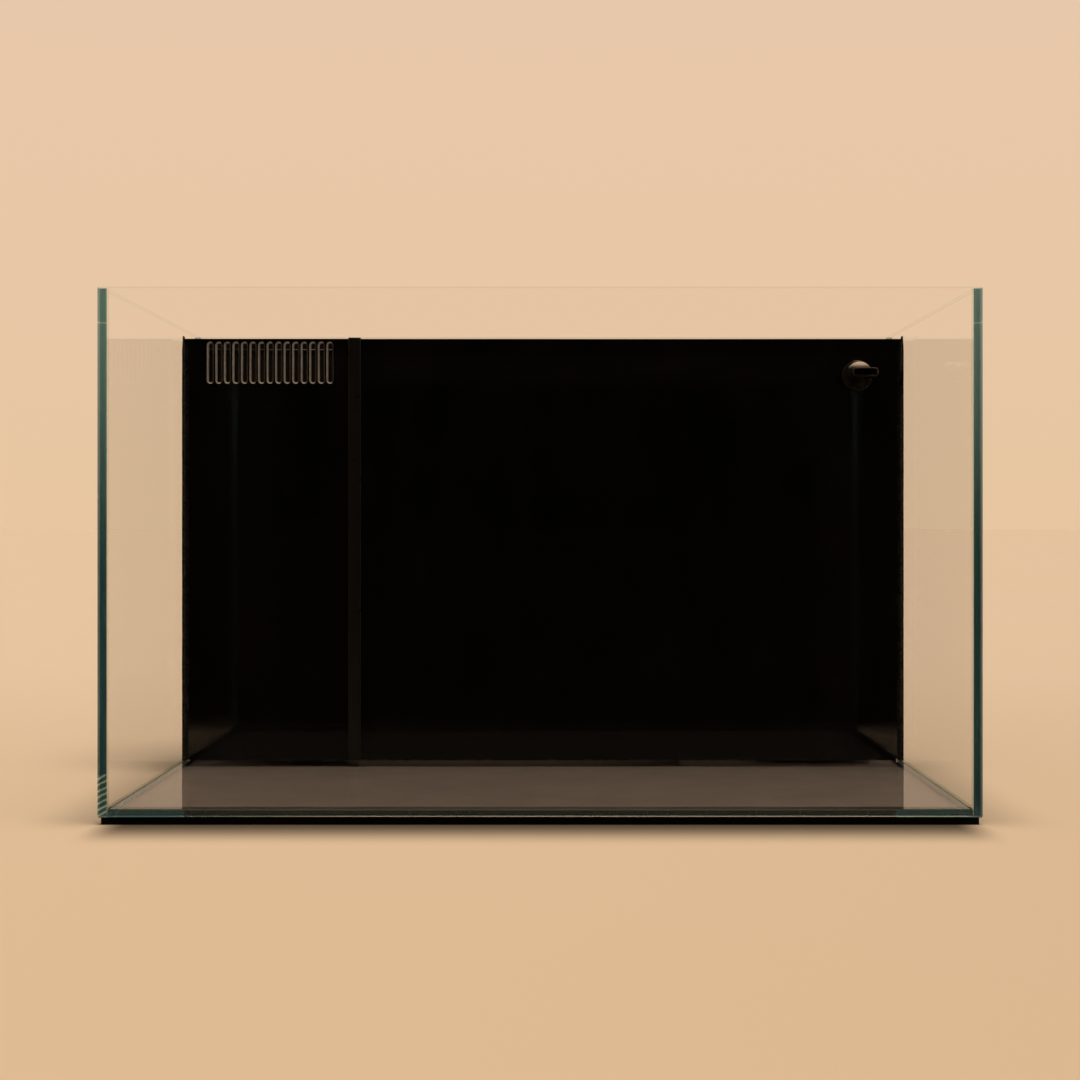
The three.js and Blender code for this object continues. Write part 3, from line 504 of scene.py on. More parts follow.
def clear_vinyl():
    """Plasticised PVC hose: half clear, a little green, with a wet shine."""
    material, tree, place = blank("clear_vinyl_hose")
    grain = noise(tree, place, 4, 3)
    inputs = {
        "Base Color": tint(tree, noise(tree, place, 20), "#AEBDB6", "#C2CEC8"),
        "Roughness": between(tree, grain, 0.08, 0.16),
        "Normal": relief(tree, grain, 0.03),
        "IOR": 1.52,
    }
    return shown(material, clear_body(tree, 0.3, "#F1F6F3", inputs))


def open_foam():
    """Reticulated blue foam: a web of pale struts round open cells about 2 mm wide, painted dark inside as
    shade.
    """
    material, tree, place = blank("reticulated_blue_foam")
    cell = {"Vector": place, "Scale": 1000 / 2.4}
    to_edge = add(tree, "ShaderNodeTexVoronoi", {"feature": "DISTANCE_TO_EDGE"}, cell).outputs["Distance"]
    hollow = scaled(tree, to_edge, 0.02, 0.16)
    inputs = {
        "Base Color": blend(tree, hollow, linear("#3E63A8"), linear("#0B1430")),
        "Roughness": between(tree, noise(tree, place, 3), 0.75, 0.92),
        "Normal": relief(tree, hollow, -1.2),
    }
    return plain_surface(material, inputs)


def wadding():
    """Polyester wadding: white crimped fibres laid in every direction, which glow a little inside."""
    material, tree, place = blank("polyester_wadding")
    one_way = noise(tree, place, 1.6, 6, (7, 1, 1))
    other_way = noise(tree, place, 1.6, 6, (1, 6, 1.5))
    fibres = calculate(tree, "MAXIMUM", one_way, other_way)
    inputs = {
        "Base Color": tint(tree, fibres, "#C9C8C0", "#F4F3EE"),
        "Roughness": between(tree, one_way, 0.85, 1.0),
        "Normal": relief(tree, fibres, 0.6),
        "Subsurface Weight": 0.2,
        "Subsurface Radius": (4 * MM, 4 * MM, 4 * MM),
        "Subsurface Scale": 1.0,
    }
    return plain_surface(material, inputs)


def nozzle_plastic():
    """Glossy black ABS whose crown is drawn pale, so that the nozzle looks lit from above."""
    material, tree, place = blank("glossy_black_abs")
    crown = ramp(tree, split(tree, place)["Z"], BALL.z + 4.5 * MM, BALL.z + 10 * MM)
    black = tint(tree, noise(tree, place, 14), "#0C0C0C", "#131312")
    lit = tint(tree, noise(tree, place, 1.5, 4), "#D6D3CC", "#EDEAE4")
    inputs = {
        "Base Color": blend(tree, product(tree, crown, 0.92), black, lit),
        "Roughness": between(tree, noise(tree, place, 8, 5), 0.24, 0.36),
        "Normal": relief(tree, noise(tree, place, 0.35, 4), 0.01),
        "IOR": 1.54,
    }
    return plain_surface(material, inputs)


def black_acrylic():
    """Cast acrylic sheet: deep black with mirror-flat faces and faint wiping marks."""
    material, tree, place = blank("cast_black_acrylic")
    marks = noise(tree, place, 25, 5, (1, 1, 2.5))
    inputs = {
        "Base Color": tint(tree, marks, "#020202", "#060505"),
        "Roughness": between(tree, marks, 0.03, 0.09),
        "Normal": relief(tree, noise(tree, place, 1.2, 4), 0.0006),
        "IOR": 1.49,
    }
    return plain_surface(material, inputs)


def make_finishes(settings):
    """Every finish by its name."""
    return {
        "glass": float_glass("float_glass", settings, settings.glass_mirror, settings.glass_mirror),
        # The floor pane mirrors on its top face only, so the mat shows evenly through it.
        "floor_glass": float_glass("float_glass_on_mat", settings, settings.floor_mirror, 0.0),
        "edge": glass_edge("polished_glass_edge", settings, settings.edge_window),
        "rim": glass_edge("polished_glass_rim", settings, settings.rim_window),
        "arris": glass_arris(),
        "clear_silicone": clear_silicone(),
        "acrylic": black_acrylic(),
        # Sawn acrylic is frosted grey with fine lines; one side of each slot keeps it and stands out pale.
        "sawn": surface("sawn_black_acrylic", ("#74777C", "#8E9298"), 4, (0.45, 0.65), 0.5, 0.03, (1, 1, 6)),
        # The other side of a slot gets a smoother, darker copy: the darkness is painted shade, which gives the
        # slots depth.
        "sawn_in_painted_shade": surface(
            "sawn_acrylic_painted_shade", ("#26241F", "#3A362F"), 4, (0.3, 0.5), 0.5, 0.02, (1, 1, 6)
        ),
        # The joining strip is satin, so it shows a little greyer than the sheets.
        "satin_acrylic": surface("satin_black_acrylic", ("#060706", "#0B0C0A"), 20, (0.26, 0.4), 0.8, 0.006),
        # Silicone sealant: black, smooth and a little uneven along the bead.
        "black_silicone": surface("black_silicone", ("#050505", "#0A0909"), 12, (0.2, 0.34), 9, 0.06),
        # Closed-cell foam with tiny burst cells, dull black on the mat's sides: the black is partly the foam's
        # own and partly painted shade.
        "foam": surface("black_foam_sides_painted_shade", ("#020202", "#050505"), 15, (0.85, 0.95), 0.7, 0.12, IOR=1.3),
        # The mat's top shows through the floor pane, painted lighter and browner than its sides: painted light
        # on the face that looks up.
        "foam_top_painted_light": surface("foam_top_painted_light", ("#686668", "#6F6D6F"), 60, (0.6, 0.8), 2.5, 0.05, IOR=1.3),
        # Vinyl film under the rear pane, with a slight orange peel.
        "film": surface("black_vinyl_film", ("#060606", "#0A0A0A"), 80, (0.25, 0.4), 2.2, 0.01),
        # Injection-moulded black ABS with a fine satin skin.
        "moulded": surface("moulded_black_abs", ("#0E0E0E", "#151514"), 14, (0.17, 0.27), 0.35, 0.012),
        "nozzle_abs": nozzle_plastic(),
        # Dark grey ABS, duller than the fittings, so the pump's shells stand off the black wall.
        "pump_shell": surface("moulded_grey_abs", ("#1A1B1D", "#232426"), 18, (0.36, 0.5), 0.4, 0.015),
        "vinyl": clear_vinyl(),
        # Natural nylon is off-white and waxy.
        "nylon": surface("natural_nylon", ("#C9C2AE", "#D6D0BF"), 9, (0.35, 0.5), 0.5, 0.015, IOR=1.53),
        # Coated ferrite: dark grey with a soft sheen.
        "magnet": surface("coated_ferrite", ("#232326", "#2E2E31"), 6, (0.3, 0.45), 0.6, 0.02),
        # Polished ceramic: a hard bright highlight along the thin shaft.
        "alumina": surface("polished_alumina", ("#D9D2C2", "#E2DCCE"), 5, (0.1, 0.2), 1.5, 0.004, IOR=1.76),
        # Filter ceramic: chalky and full of fine pores.
        "porous_ceramic": surface(
            "sintered_filter_ceramic", ("#CDBFA4", "#E4DAC6"), 11, (0.8, 0.95), 0.6, 0.15
        ),
        "sponge": open_foam(),
        "floss": wadding(),
        # Rubber: dark, dull and slightly bloomed.
        "rubber": surface("nitrile_rubber", ("#121212", "#1C1B1A"), 8, (0.6, 0.8), 0.6, 0.02),
    }


# ---- settings -------------------------------------------------------------------------------------


def share_setting(name, description, default):
    return bpy.props.FloatProperty(
        name=name, description=description, default=default, subtype="FACTOR", min=0, max=1
    )


def length_setting(name, description, millimetres):
    return bpy.props.FloatProperty(
        name=name, description=description, default=millimetres * MM, unit="LENGTH"
    )


def colour_setting(name, description, default):
    return bpy.props.StringProperty(name=name, description=f"{description}, as sRGB hex", default=default)


class AquariumSettings(bpy.types.PropertyGroup):
    """Sizes and colours that can be changed before the pieces are made."""

    glass_index: bpy.props.FloatProperty(
        name="Glass index", description="Refractive index of the panes", default=1.52, min=1, max=2
    )
    glass_mirror: share_setting("Glass mirror", "How much of bare glass's mirror the cleaned faces keep", 0.3)
    floor_mirror: share_setting("Floor mirror", "How much of bare glass's mirror the floor pane keeps", 0.69)
    edge_window: share_setting("Edge window", "How much an edge lets through, seen from in the glass", 0.15)
    rim_window: share_setting("Rim window", "The same for the top edges, looked at from below", 0.985)
    glass_tint: colour_setting("Glass tint", "Colour of light that crosses one face", "#FFFFFF")
    edge_deep: colour_setting("Edge, deep", "Darkest colour of a pane's edge", "#235566")
    edge_mid: colour_setting("Edge, mid", "Middle colour of a pane's edge", "#2C677A")
    # The pale edge colour near the rim is painted light.
    edge_painted_light: colour_setting("Edge, light", "Pale colour of an edge near the rim", "#88B9CC")
    arris: length_setting("Arris", "Width of a pane's ground bevel", 0.7)
    slot_count: bpy.props.IntProperty(name="Weir slots", description="Slots in the weir", default=15, min=1)
    slot_pitch: length_setting("Slot pitch", "From one weir slot to the next", 7)
    slot_margin: length_setting("Slot margin", "From the sheet's edge to the middle of the first slot", 22.1)
    slot_width: length_setting("Slot width", "Width of a weir slot at its narrowest", 3.4)
    slot_flare: length_setting("Slot flare", "Width of the chamfer round a slot", 1.2)
    slot_length: length_setting("Slot length", "Height of a slot over its chamfers", 34.5)
    slot_drop: length_setting("Slot drop", "From the top of the sheet to the slots", 2.4)
    floor_colour: colour_setting("Floor colour", "Colour of the studio floor", "#E7E5E3")
    floor_patches: colour_setting("Floor patches", "The floor's colour in faint patches", "#E6E4E0")
    floor_near: colour_setting("Floor near", "The floor's colour in front of the tank", "#DED9CF")
    studio_colour: colour_setting("Studio colour", "Colour of the studio walls", "#E7C6A1")
    studio_top: colour_setting("Studio top", "Colour higher up the studio walls", "#E8C8AA")


# ---- stage ----------------------------------------------------------------------------------------

FILL = 0.8  # brightness of the studio walls as a light, against how bright they look
FRONT_DIMMED = 0.55  # how much the walls in front of the tank are dimmed as a light
KEY_FROM = Vector((0.15, -0.2, 1.0))
KEY_STRENGTH = 2.38
SHADE_AHEAD = 0.085  # how far the drawn shade reaches in front of the tank, in metres
SHADE_BESIDE = 0.06  # and beside it
STUDIO_HALF = 60  # half the side of the floor sheet


def mirrored_ray(tree):
    """1 for light that a surface has mirrored, 0 for light seen directly or through glass."""
    bounced = add(tree, "ShaderNodeLightPath").outputs["Glossy Depth"]
    return calculate(tree, "GREATER_THAN", bounced, 0.5)


class AQUARIUM_OT_stage(bpy.types.Operator):
    """Make the floor, the studio, the lights and the camera"""

    bl_idname = "aquarium.stage"
    bl_label = "Stage"

    def execute(self, context):
        settings = context.scene.aquarium
        self.studio(context, settings)
        self.floor(settings)
        self.key_light(context)
        self.camera(context)
        context.scene.view_settings.view_transform = "Standard"
        return {"FINISHED"}

    def studio(self, context, settings):
        """An evenly lit studio. What the glass mirrors towards the front is painted dark, a painted
        reflection.
        """
        world = bpy.data.worlds.new("studio")
        context.scene.world = world
        world.use_nodes = True
        tree = world.node_tree
        tree.nodes.clear()
        direction = split(tree, add(tree, "ShaderNodeTexCoord").outputs["Generated"])
        front = ramp(tree, direction["Y"], 0.1, -0.5)
        fill = add(tree, "ShaderNodeLightPath").outputs["Is Diffuse Ray"]
        hidden = calculate(tree, "MAXIMUM", mirrored_ray(tree), switched(tree, fill, 0.0, FRONT_DIMMED))
        up = scaled(tree, direction["Z"], 0.0, 0.25)
        wall = blend(tree, up, linear(settings.studio_colour), linear(settings.studio_top))
        colour = blend(tree, product(tree, front, hidden), wall, linear("#0A0908"))
        # The walls light the pieces a little less than they show, which leaves room for the key light.
        strength = switched(tree, fill, 1.0, FILL)
        light = add(tree, "ShaderNodeBackground", inputs={"Color": colour, "Strength": strength})
        add(tree, "ShaderNodeOutputWorld", inputs={"Surface": light.outputs[0]})

    def floor(self, settings):
        """A pale sheet, warmer near the front, with a shade drawn on it that grounds the tank."""
        material, tree, place = blank("studio_floor")
        here = split(tree, place)
        wide, deep = TANK_HIGH.x, TANK_HIGH.y
        sheet = tint(tree, noise(tree, place, 300), settings.floor_colour, settings.floor_patches)
        warmer = blend(tree, ramp(tree, here["Y"], 1.5, -0.9), sheet, linear(settings.floor_near))
        # The drawn shade: a narrow dark band in front of the tank and a wide faint one beside it.
        aside = calculate(tree, "ABSOLUTE", here["X"])
        ahead = ramp(tree, here["Y"], -deep - SHADE_AHEAD, -deep)
        within = ramp(tree, aside, wide + 8 * MM, wide - 20 * MM)
        within = product(tree, within, ramp(tree, here["Y"], 0.0, -0.05))
        beside = ramp(tree, aside, wide + SHADE_BESIDE, wide)
        level = ramp(tree, here["Y"], deep + 0.06, deep - 0.06)
        level = product(tree, level, ramp(tree, here["Y"], -deep - 0.03, -deep + 0.03))
        front_shade, side_shade = product(tree, ahead, within, 0.85), product(tree, beside, level, 0.25)
        shaded = blend(tree, calculate(tree, "MAXIMUM", front_shade, side_shade), warmer, linear("#000000"))
        inputs = {"Color": shaded, "Roughness": 1.0, "Normal": relief(tree, noise(tree, place, 3), 0.02)}
        pale = add(tree, "ShaderNodeBsdfDiffuse", inputs=inputs)
        # In front of the tank, mirrors see the floor painted dark: a painted reflection.
        painted_dark_reflection = add(tree, "ShaderNodeBsdfDiffuse", inputs={"Color": linear("#141210")})
        share = product(tree, ramp(tree, here["Y"], -deep, -deep - 0.12), mirrored_ray(tree))
        bm = bmesh.new()
        bmesh.ops.create_grid(bm, x_segments=1, y_segments=1, size=STUDIO_HALF)
        ground = as_object("studio_floor", bm)
        ground.data.materials.append(shown(material, mixed(tree, share, pale, painted_dark_reflection)))

    def key_light(self, context):
        """A broad soft light from above that adds what the walls leave."""
        lamp = bpy.data.lights.new("overhead_softbox", "SUN")
        lamp.energy = KEY_STRENGTH
        lamp.angle = math.radians(35)
        lamp.color = linear(context.scene.aquarium.studio_colour)[:3]
        key = bpy.data.objects.new("overhead_softbox", lamp)
        key.rotation_euler = KEY_FROM.to_track_quat("Z", "Y").to_euler()
        context.scene.collection.objects.link(key)

    def camera(self, context):
        lens = bpy.data.cameras.new("camera")
        lens.lens = 64.35
        lens.sensor_width = 36
        lens.shift_x = -0.0151
        lens.shift_y = -0.0157
        lens.clip_end = 200
        view = bpy.data.objects.new("camera", lens)
        view.location = (0.011, -1.4877, 0.2047)
        view.rotation_euler = (math.radians(90), 0, 0)
        context.scene.collection.objects.link(view)
        context.scene.camera = view


# ---- glass ----------------------------------------------------------------------------------------


class AQUARIUM_OT_panes(bpy.types.Operator):
    """Make the five panes with ground and polished edges"""

    bl_idname = "aquarium.panes"
    bl_label = "Panes"

    def execute(self, context):
        for node in ("front_pane", "rear_pane", "left_pane", "right_pane", "bottom_pane"):
            low, high = corners(node)
            size = high - low
            thin = min(range(3), key=lambda i: size[i])
            finishes = [FINISH["floor_glass" if node == "bottom_pane" else "glass"]]
            finishes += [FINISH["edge"], FINISH["rim"], FINISH["arris"]]
            bm = bmesh.new()
            box_mesh(bm, low, high, context.scene.aquarium.arris, 1)
            for face in bm.faces:
                flat = max(abs(c) for c in face.normal) > 0.99
                if not flat:
                    face.material_index = 3 if face.normal.z > 0.1 else 1
                elif abs(face.normal[thin]) < 0.99:
                    face.material_index = 2 if face.normal.z > 0.99 else 1
            piece(f"{node}_glass", bm, finishes, node)
        return {"FINISHED"}


CLEAR_LEG, BLACK_LEG = 1.8, 5.0  # reach of the beads along each sheet, in millimetres
BEAD_STEP = 4 * MM


class AQUARIUM_OT_seams(bpy.types.Operator):
    """Draw the clear silicone between the panes and the black silicone beside the wall"""

    bl_idname = "aquarium.seams"
    bl_label = "Silicone"

    def execute(self, context):
        inner_x = -corners("left_pane")[1].x
        front = corners("front_pane")[1].y
        rear = corners("rear_pane")[0].y
        runs = {
            "seam_front_left": ((-inner_x, front, 0), (1, 0, 0), (0, 1, 0)),
            "seam_front_right": ((inner_x, front, 0), (-1, 0, 0), (0, 1, 0)),
            "seam_rear_left": ((-inner_x, rear, 0), (1, 0, 0), (0, -1, 0)),
            "seam_rear_right": ((inner_x, rear, 0), (-1, 0, 0), (0, -1, 0)),
            "seam_bottom_front": ((0, front, FLOOR_TOP), (0, 0, 1), (0, 1, 0)),
            "seam_bottom_rear": ((0, rear, FLOOR_TOP), (0, 0, 1), (0, -1, 0)),
            "seam_bottom_left": ((-inner_x, 0, FLOOR_TOP), (0, 0, 1), (1, 0, 0)),
            "seam_bottom_right": ((inner_x, 0, FLOOR_TOP), (0, 0, 1), (-1, 0, 0)),
        }
        for number, (node, (corner, u, v)) in enumerate(runs.items()):
            self.bead(node, corner, u, v, CLEAR_LEG, number, "clear_silicone", True)
        for number, (node, toward) in enumerate((("wall_bead_left", 1), ("wall_bead_right", -1))):
            corner = (-toward * inner_x, WALL_FACE, 0)
            ways = (toward, 0, 0), (0, -1, 0)
            self.bead(node, corner, *ways, BLACK_LEG, number + 20, "black_silicone", False)
        return {"FINISHED"}

    def bead(self, node, corner, u, v, leg, seed, finish, web):
        """A hollow fillet along a corner, a little uneven, with a thin web between the panes if it has one."""
        low, high = corners(node)
        u, v, corner = Vector(u), Vector(v), Vector(corner)
        run = max(range(3), key=lambda i: (high - low)[i])
        # The beads beside the wall are drawn right down to the floor pane.
        start, end = low[run] if web else FLOOR_TOP + 0.05 * MM, high[run]
        stations = max(40, int((end - start) / BEAD_STEP))
        # Air at the glass, then how far the web's two sides lie from it, in millimetres.
        gap, bond, glass = 0.05, 0.35, 4.7
        rings = []
        for i in range(stations + 1):
            s = start + (end - start) * i / stations
            reach = leg * (0.93 + 0.07 * wobble(s, seed))
            if not web:
                reach *= min(1, 0.22 + (end - s) / (14 * MM))
            points = [(gap + reach, gap)]
            points += arc(gap + reach, gap + reach, reach, -90, -180, 10)[1:-1]
            points += [(gap, gap + reach)]
            points += [(gap, bond), (-glass, bond), (-glass, gap)] if web else [(gap, gap)]
            base = corner.copy()
            base[run] = s
            rings.append([base + u * (a * MM) + v * (b * MM) for a, b in points])
        bm = bmesh.new()
        skin(bm, rings)
        piece(f"{node}_bead", bm, [FINISH[finish]], node, sharp=math.radians(50))


class AQUARIUM_OT_mat(bpy.types.Operator):
    """Make the foam levelling mat"""

    bl_idname = "aquarium.mat"
    bl_label = "Foam mat"

    def execute(self, context):
        bm = bmesh.new()
        box_mesh(bm, *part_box("leveling_mat"), 0.5 * MM, 2)
        for face in bm.faces:
            # The top face takes the painted-light copy of the foam, the sides the dark one.
            face.material_index = 1 if face.normal.z > 0.99 else 0
        piece("foam_mat", bm, [FINISH["foam"], FINISH["foam_top_painted_light"]], "leveling_mat")
        frame["nodes"]["backing_film"].data.materials[0] = FINISH["film"]
        return {"FINISHED"}


# ---- acrylic wall ---------------------------------------------------------------------------------


def node_group(name, inputs, output):
    """A Geometry Nodes tree with named inputs and one output. Returns it with its input sockets."""
    tree = bpy.data.node_groups.new(name, "GeometryNodeTree")
    for label, kind in inputs.items():
        tree.interface.new_socket(label, in_out="INPUT", socket_type=f"NodeSocket{kind}")
    tree.interface.new_socket(output, in_out="OUTPUT", socket_type="NodeSocketGeometry")
    return tree, add(tree, "NodeGroupInput").outputs


def dressed(tree, geometry, finish, output):
    """Ends a tree: its geometry made real, in one finish."""
    whole = add(tree, "GeometryNodeRealizeInstances", inputs={"Geometry": geometry})
    finishing = {"Geometry": whole.outputs[0], "Material": finish}
    finished = add(tree, "GeometryNodeSetMaterial", inputs=finishing)
    add(tree, "NodeGroupOutput", inputs={output: finished.outputs[0]})
    return tree


def run_group(obj, tree, values):
    """Runs a tree on an object with its inputs set by name, and keeps the result as the object's own mesh."""
    modifier = obj.modifiers.new(tree.name, "NODES")
    modifier.node_group = tree
    for item in tree.interface.items_tree:
        if item.name in values:
            modifier[item.identifier] = values[item.name]
    depsgraph = bpy.context.evaluated_depsgraph_get()
    mesh = bpy.data.meshes.new_from_object(obj.evaluated_get(depsgraph))
    obj.modifiers.clear()
    obj.data = mesh


def weir_tree(polished):
    """Geometry Nodes: a row of slot cutters taken out of a sheet."""
    inputs = {"Cutter": "Geometry", "Slots": "Int"}
    inputs |= dict.fromkeys(("First Slot", "Pitch", "Sheet Size", "Sheet Middle"), "Vector")
    tree, given = node_group("weir_slots", inputs, "Sheet")
    places = {"Count": given["Slots"], "Start Location": given["First Slot"], "Offset": given["Pitch"]}
    row = add(tree, "GeometryNodeMeshLine", {"mode": "OFFSET"}, places)
    placing = {"Points": row.outputs[0], "Instance": given["Cutter"]}
    cutters = add(tree, "GeometryNodeInstanceOnPoints", inputs=placing)
    loose = add(tree, "GeometryNodeRealizeInstances", inputs={"Geometry": cutters.outputs[0]})
    sheet = add(tree, "GeometryNodeMeshCube", inputs={"Size": given["Sheet Size"]})
    moving = {"Geometry": sheet.outputs[0], "Translation": given["Sheet Middle"]}
    placed = add(tree, "GeometryNodeTransform", inputs=moving)
    meshes = {"Mesh 1": placed.outputs[0], "Mesh 2": loose.outputs[0]}
    settings = {"operation": "DIFFERENCE", "solver": "EXACT"}
    cut = add(tree, "GeometryNodeMeshBoolean", settings, meshes)
    return dressed(tree, cut.outputs[0], polished, "Sheet")


STRIP_ABOVE_WALL = 0.8 * MM  # how far the joining strip shows above the sheets


class AQUARIUM_OT_wall(bpy.types.Operator):
    """Make the acrylic wall: the slotted weir, the main sheet and the joining strip"""

    bl_idname = "aquarium.wall"
    bl_label = "Acrylic wall"

    def execute(self, context):
        self.weir(context.scene.aquarium)
        acrylic = FINISH["acrylic"]
        refined("main_sheet", "return_panel", acrylic, 0.4 * MM)
        strip = refined("joining_strip", "panel_joiner", FINISH["satin_acrylic"], 0.25 * MM)
        for vertex in strip.data.vertices:
            vertex.co.z = min(vertex.co.z, WALL_HIGH.z + STRIP_ABOVE_WALL)
        for node in ("intake_baffle", "pump_baffle", "basket_rail_left", "basket_rail_right"):
            refined(f"{node}_sheet", node, acrylic, 0.35 * MM)
        frame["nodes"]["wall_bead_bottom"].data.materials[0] = FINISH["black_silicone"]
        return {"FINISHED"}

    def cutter(self, settings):
        """One slot: a round-ended passage that flares at both faces of the sheet."""
        past = 0.3 * MM
        narrow = settings.slot_width / 2
        wide = narrow + settings.slot_flare + past
        thick = WALL_HIGH.y - WALL_LOW.y
        half_run = settings.slot_length / 2 + past - wide
        flare = settings.slot_flare
        rings = []
        for y, half in ((-past, wide), (flare, narrow), (thick - flare, narrow), (thick + past, wide)):
            ends = arc(0, half_run, half, 0, 180, 14) + arc(0, -half_run, half, 180, 360, 14)
            rings.append([Vector((x, y, z)) for x, z in ends])
        bm = bmesh.new()
        skin(bm, rings)
        return bm

    def weir(self, settings):
        low, high = WALL_LOW, WALL_HIGH
        middle_height = high.z - settings.slot_drop - settings.slot_length / 2
        values = {
            "Slots": settings.slot_count,
            "First Slot": (low.x + settings.slot_margin, low.y, middle_height),
            "Pitch": (settings.slot_pitch, 0, 0),
            "Sheet Size": tuple(high - low),
            "Sheet Middle": tuple((high + low) / 2),
        }
        obj = as_object("weir_sheet", self.cutter(settings))
        run_group(obj, weir_tree(FINISH["acrylic"]), values)
        obj.data.materials.clear()
        for name in ("acrylic", "sawn", "sawn_in_painted_shade"):
            obj.data.materials.append(FINISH[name])
        top, foot = high.z - settings.slot_drop / 2, middle_height - settings.slot_length
        for face in obj.data.polygons:
            in_row = low.x + settings.slot_pitch < face.center.x < high.x - settings.slot_pitch
            upright = abs(face.normal.y) < 0.9
            cut = upright and in_row and foot < face.center.z < top
            # Slot faces turned to -X take the darker copy, painted shade; the other cut faces take the frosted
            # grey.
            face.material_index = (2 if face.normal.x < -0.5 else 1) if cut else 0
        smooth(obj.data)
        bevelled(obj, 0.12 * MM)
        settle(obj, "weir_panel", "tank")


# ---- nozzle ---------------------------------------------------------------------------------------


def spread(stations, steps):
    """Catmull-Rom steps between stations, so that a loft has no kinks."""

    def between_stations(p, q, r, s, t):
        """The curve from q to r, with p before them and s after."""
        bend = (2 * p - 5 * q + 4 * r - s) * t * t + (3 * q - p - 3 * r + s) * t**3
        return 0.5 * (2 * q + (r - p) * t + bend)

    held = [stations[0], *stations, stations[-1]]
    rows = []
    for four in zip(held, held[1:], held[2:], held[3:]):
        for i in range(steps):
            rows.append([between_stations(*values, i / steps) for values in zip(*four)])
    return [*rows, list(stations[-1])]


def rounded_ring(centre, y, half_wide, half_high, square, sides=72):
    """A ring across the Y axis that is an ellipse at squareness 2 and a rounded slot above it."""
    ring = []
    for i in range(sides):
        angle = 2 * math.pi * i / sides
        c, s = math.cos(angle), math.sin(angle)
        x = half_wide * math.copysign(abs(c) ** (2 / square), c)
        z = half_high * math.copysign(abs(s) ** (2 / square), s)
        ring.append(Vector((centre.x + x * MM, centre.y + y * MM, centre.z + z * MM)))
    return ring


class AQUARIUM_OT_nozzle(bpy.types.Operator):
    """Make the swivel nozzle: a hollow ball on its stem and a flat-mouthed nozzle over it"""

    bl_idname = "aquarium.nozzle"
    bl_label = "Nozzle"

    def execute(self, context):
        self.mouth()
        self.stem()
        return {"FINISHED"}

    def mouth(self):
        outer_ball, inner_ball, lip = 10.6, 8.0, 3.5
        outside = [(lip - 0.15, 9.75, 9.75, 2.0)]
        for angle in (71, 80, 90, 100):
            r = outer_ball * math.sin(math.radians(angle))
            outside.append((outer_ball * math.cos(math.radians(angle)), r, r, 2.0))
        outside += [
            (-5.2, 9.9, 9.3, 2.05),
            (-9, 9.3, 7.9, 2.2),
            (-13, 9.1, 6.2, 2.5),
            (-18, 9.4, 4.7, 3.1),
            (-24, 9.9, 3.7, 4.2),
            (-31.6, 10.1, 3.45, 5.5),
        ]
        inside = [
            (-32, 9.3, 2.62, 5.5),
            (-31.2, 8.95, 2.3, 5.5),
            (-24, 8.7, 2.5, 4.2),
            (-18, 8.2, 3.5, 3.1),
            (-13, 7.3, 4.6, 2.4),
            (-8.2, 6.4, 6.0, 2.0),
            (-5.2, 6.1, 6.1, 2.0),
        ]
        for angle in (128, 115, 100, 85, 72, 64):
            r = inner_ball * math.sin(math.radians(angle))
            inside.append((inner_ball * math.cos(math.radians(angle)), r, r, 2.0))
        rows = spread(outside, 4) + [(-32, 9.8, 3.15, 5.5)] + spread(inside, 4)
        bm = bmesh.new()
        skin(bm, [rounded_ring(BALL, *row) for row in rows], close_loop=True)
        piece("nozzle_mouthpiece", bm, [FINISH["nozzle_abs"]], "nozzle_mouth", "nozzle")

    def stem(self):
        end = (corners("nozzle_stem")[1].y - BALL.y) / MM
        bore, neck, ball, shank = 3.3, 4.6, 7.8, 5.2
        start = 180 - math.degrees(math.asin(bore / ball))
        finish = math.degrees(math.asin(neck / ball))
        rim = [(bore, math.cos(math.radians(start)) * ball + 0.4)]
        steps = 24
        for i in range(steps + 1):
            angle = math.radians(start + (finish - start) * i / steps)
            rim.append((ball * math.sin(angle), ball * math.cos(angle)))
        neck_end = (corners("bulkhead_body")[0].y - BALL.y) / MM + 0.3
        rim += [(neck, neck_end), (shank, neck_end), (shank, end - 0.4), (shank - 0.4, end), (bore, end)]
        bm = bmesh.new()
        turn(bm, rim, "Y", BALL, 64)
        piece("nozzle_ball", bm, [FINISH["moulded"]], "nozzle_stem", "stem")


# ---- return line ----------------------------------------------------------------------------------


def tube(bm, path, outer, inner, sides=32):
    """A hollow tube along points, with an outer and an inner radius in metres at each of them."""
    points = [Vector(p) for p in path]
    ways = [(b - a).normalized() for a, b in zip(points, points[1:])]
    tangents = [ways[0], *[(a + b).normalized() for a, b in zip(ways, ways[1:])], ways[-1]]
    across = tangents[0].orthogonal().normalized()
    rings = []
    for point, way in zip(points, tangents):
        across = (across - way * across.dot(way)).normalized()
        rings.append((point, across.copy(), way.cross(across)))

    def ring(at, radius):
        point, u, v = at
        turns = [2 * math.pi * i / sides for i in range(sides)]
        return [point + u * (radius * math.cos(t)) + v * (radius * math.sin(t)) for t in turns]

    shell = [ring(at, r) for at, r in zip(rings, outer)]
    bore = [ring(at, r) for at, r in zip(rings, inner)]
    skin(bm, shell + bore[::-1], close_loop=True)


def barb(length, tip):
    """Distances along a hose barb with their radii in millimetres: a plain neck and three saw teeth."""
    pitch = (length - 2) / 3
    steps = [(0.1, tip - 0.7), (2.0, tip - 0.7)]
    for i in range(3):
        steps += [(2.1 + i * pitch, tip), (1.9 + (i + 1) * pitch, tip - 0.7)]
    return steps


ELBOW = 9.5  # outer radius of the elbow's bend, in millimetres
BEZIER_PULL = 0.45  # how far the hose holds its way at each end, against its drop


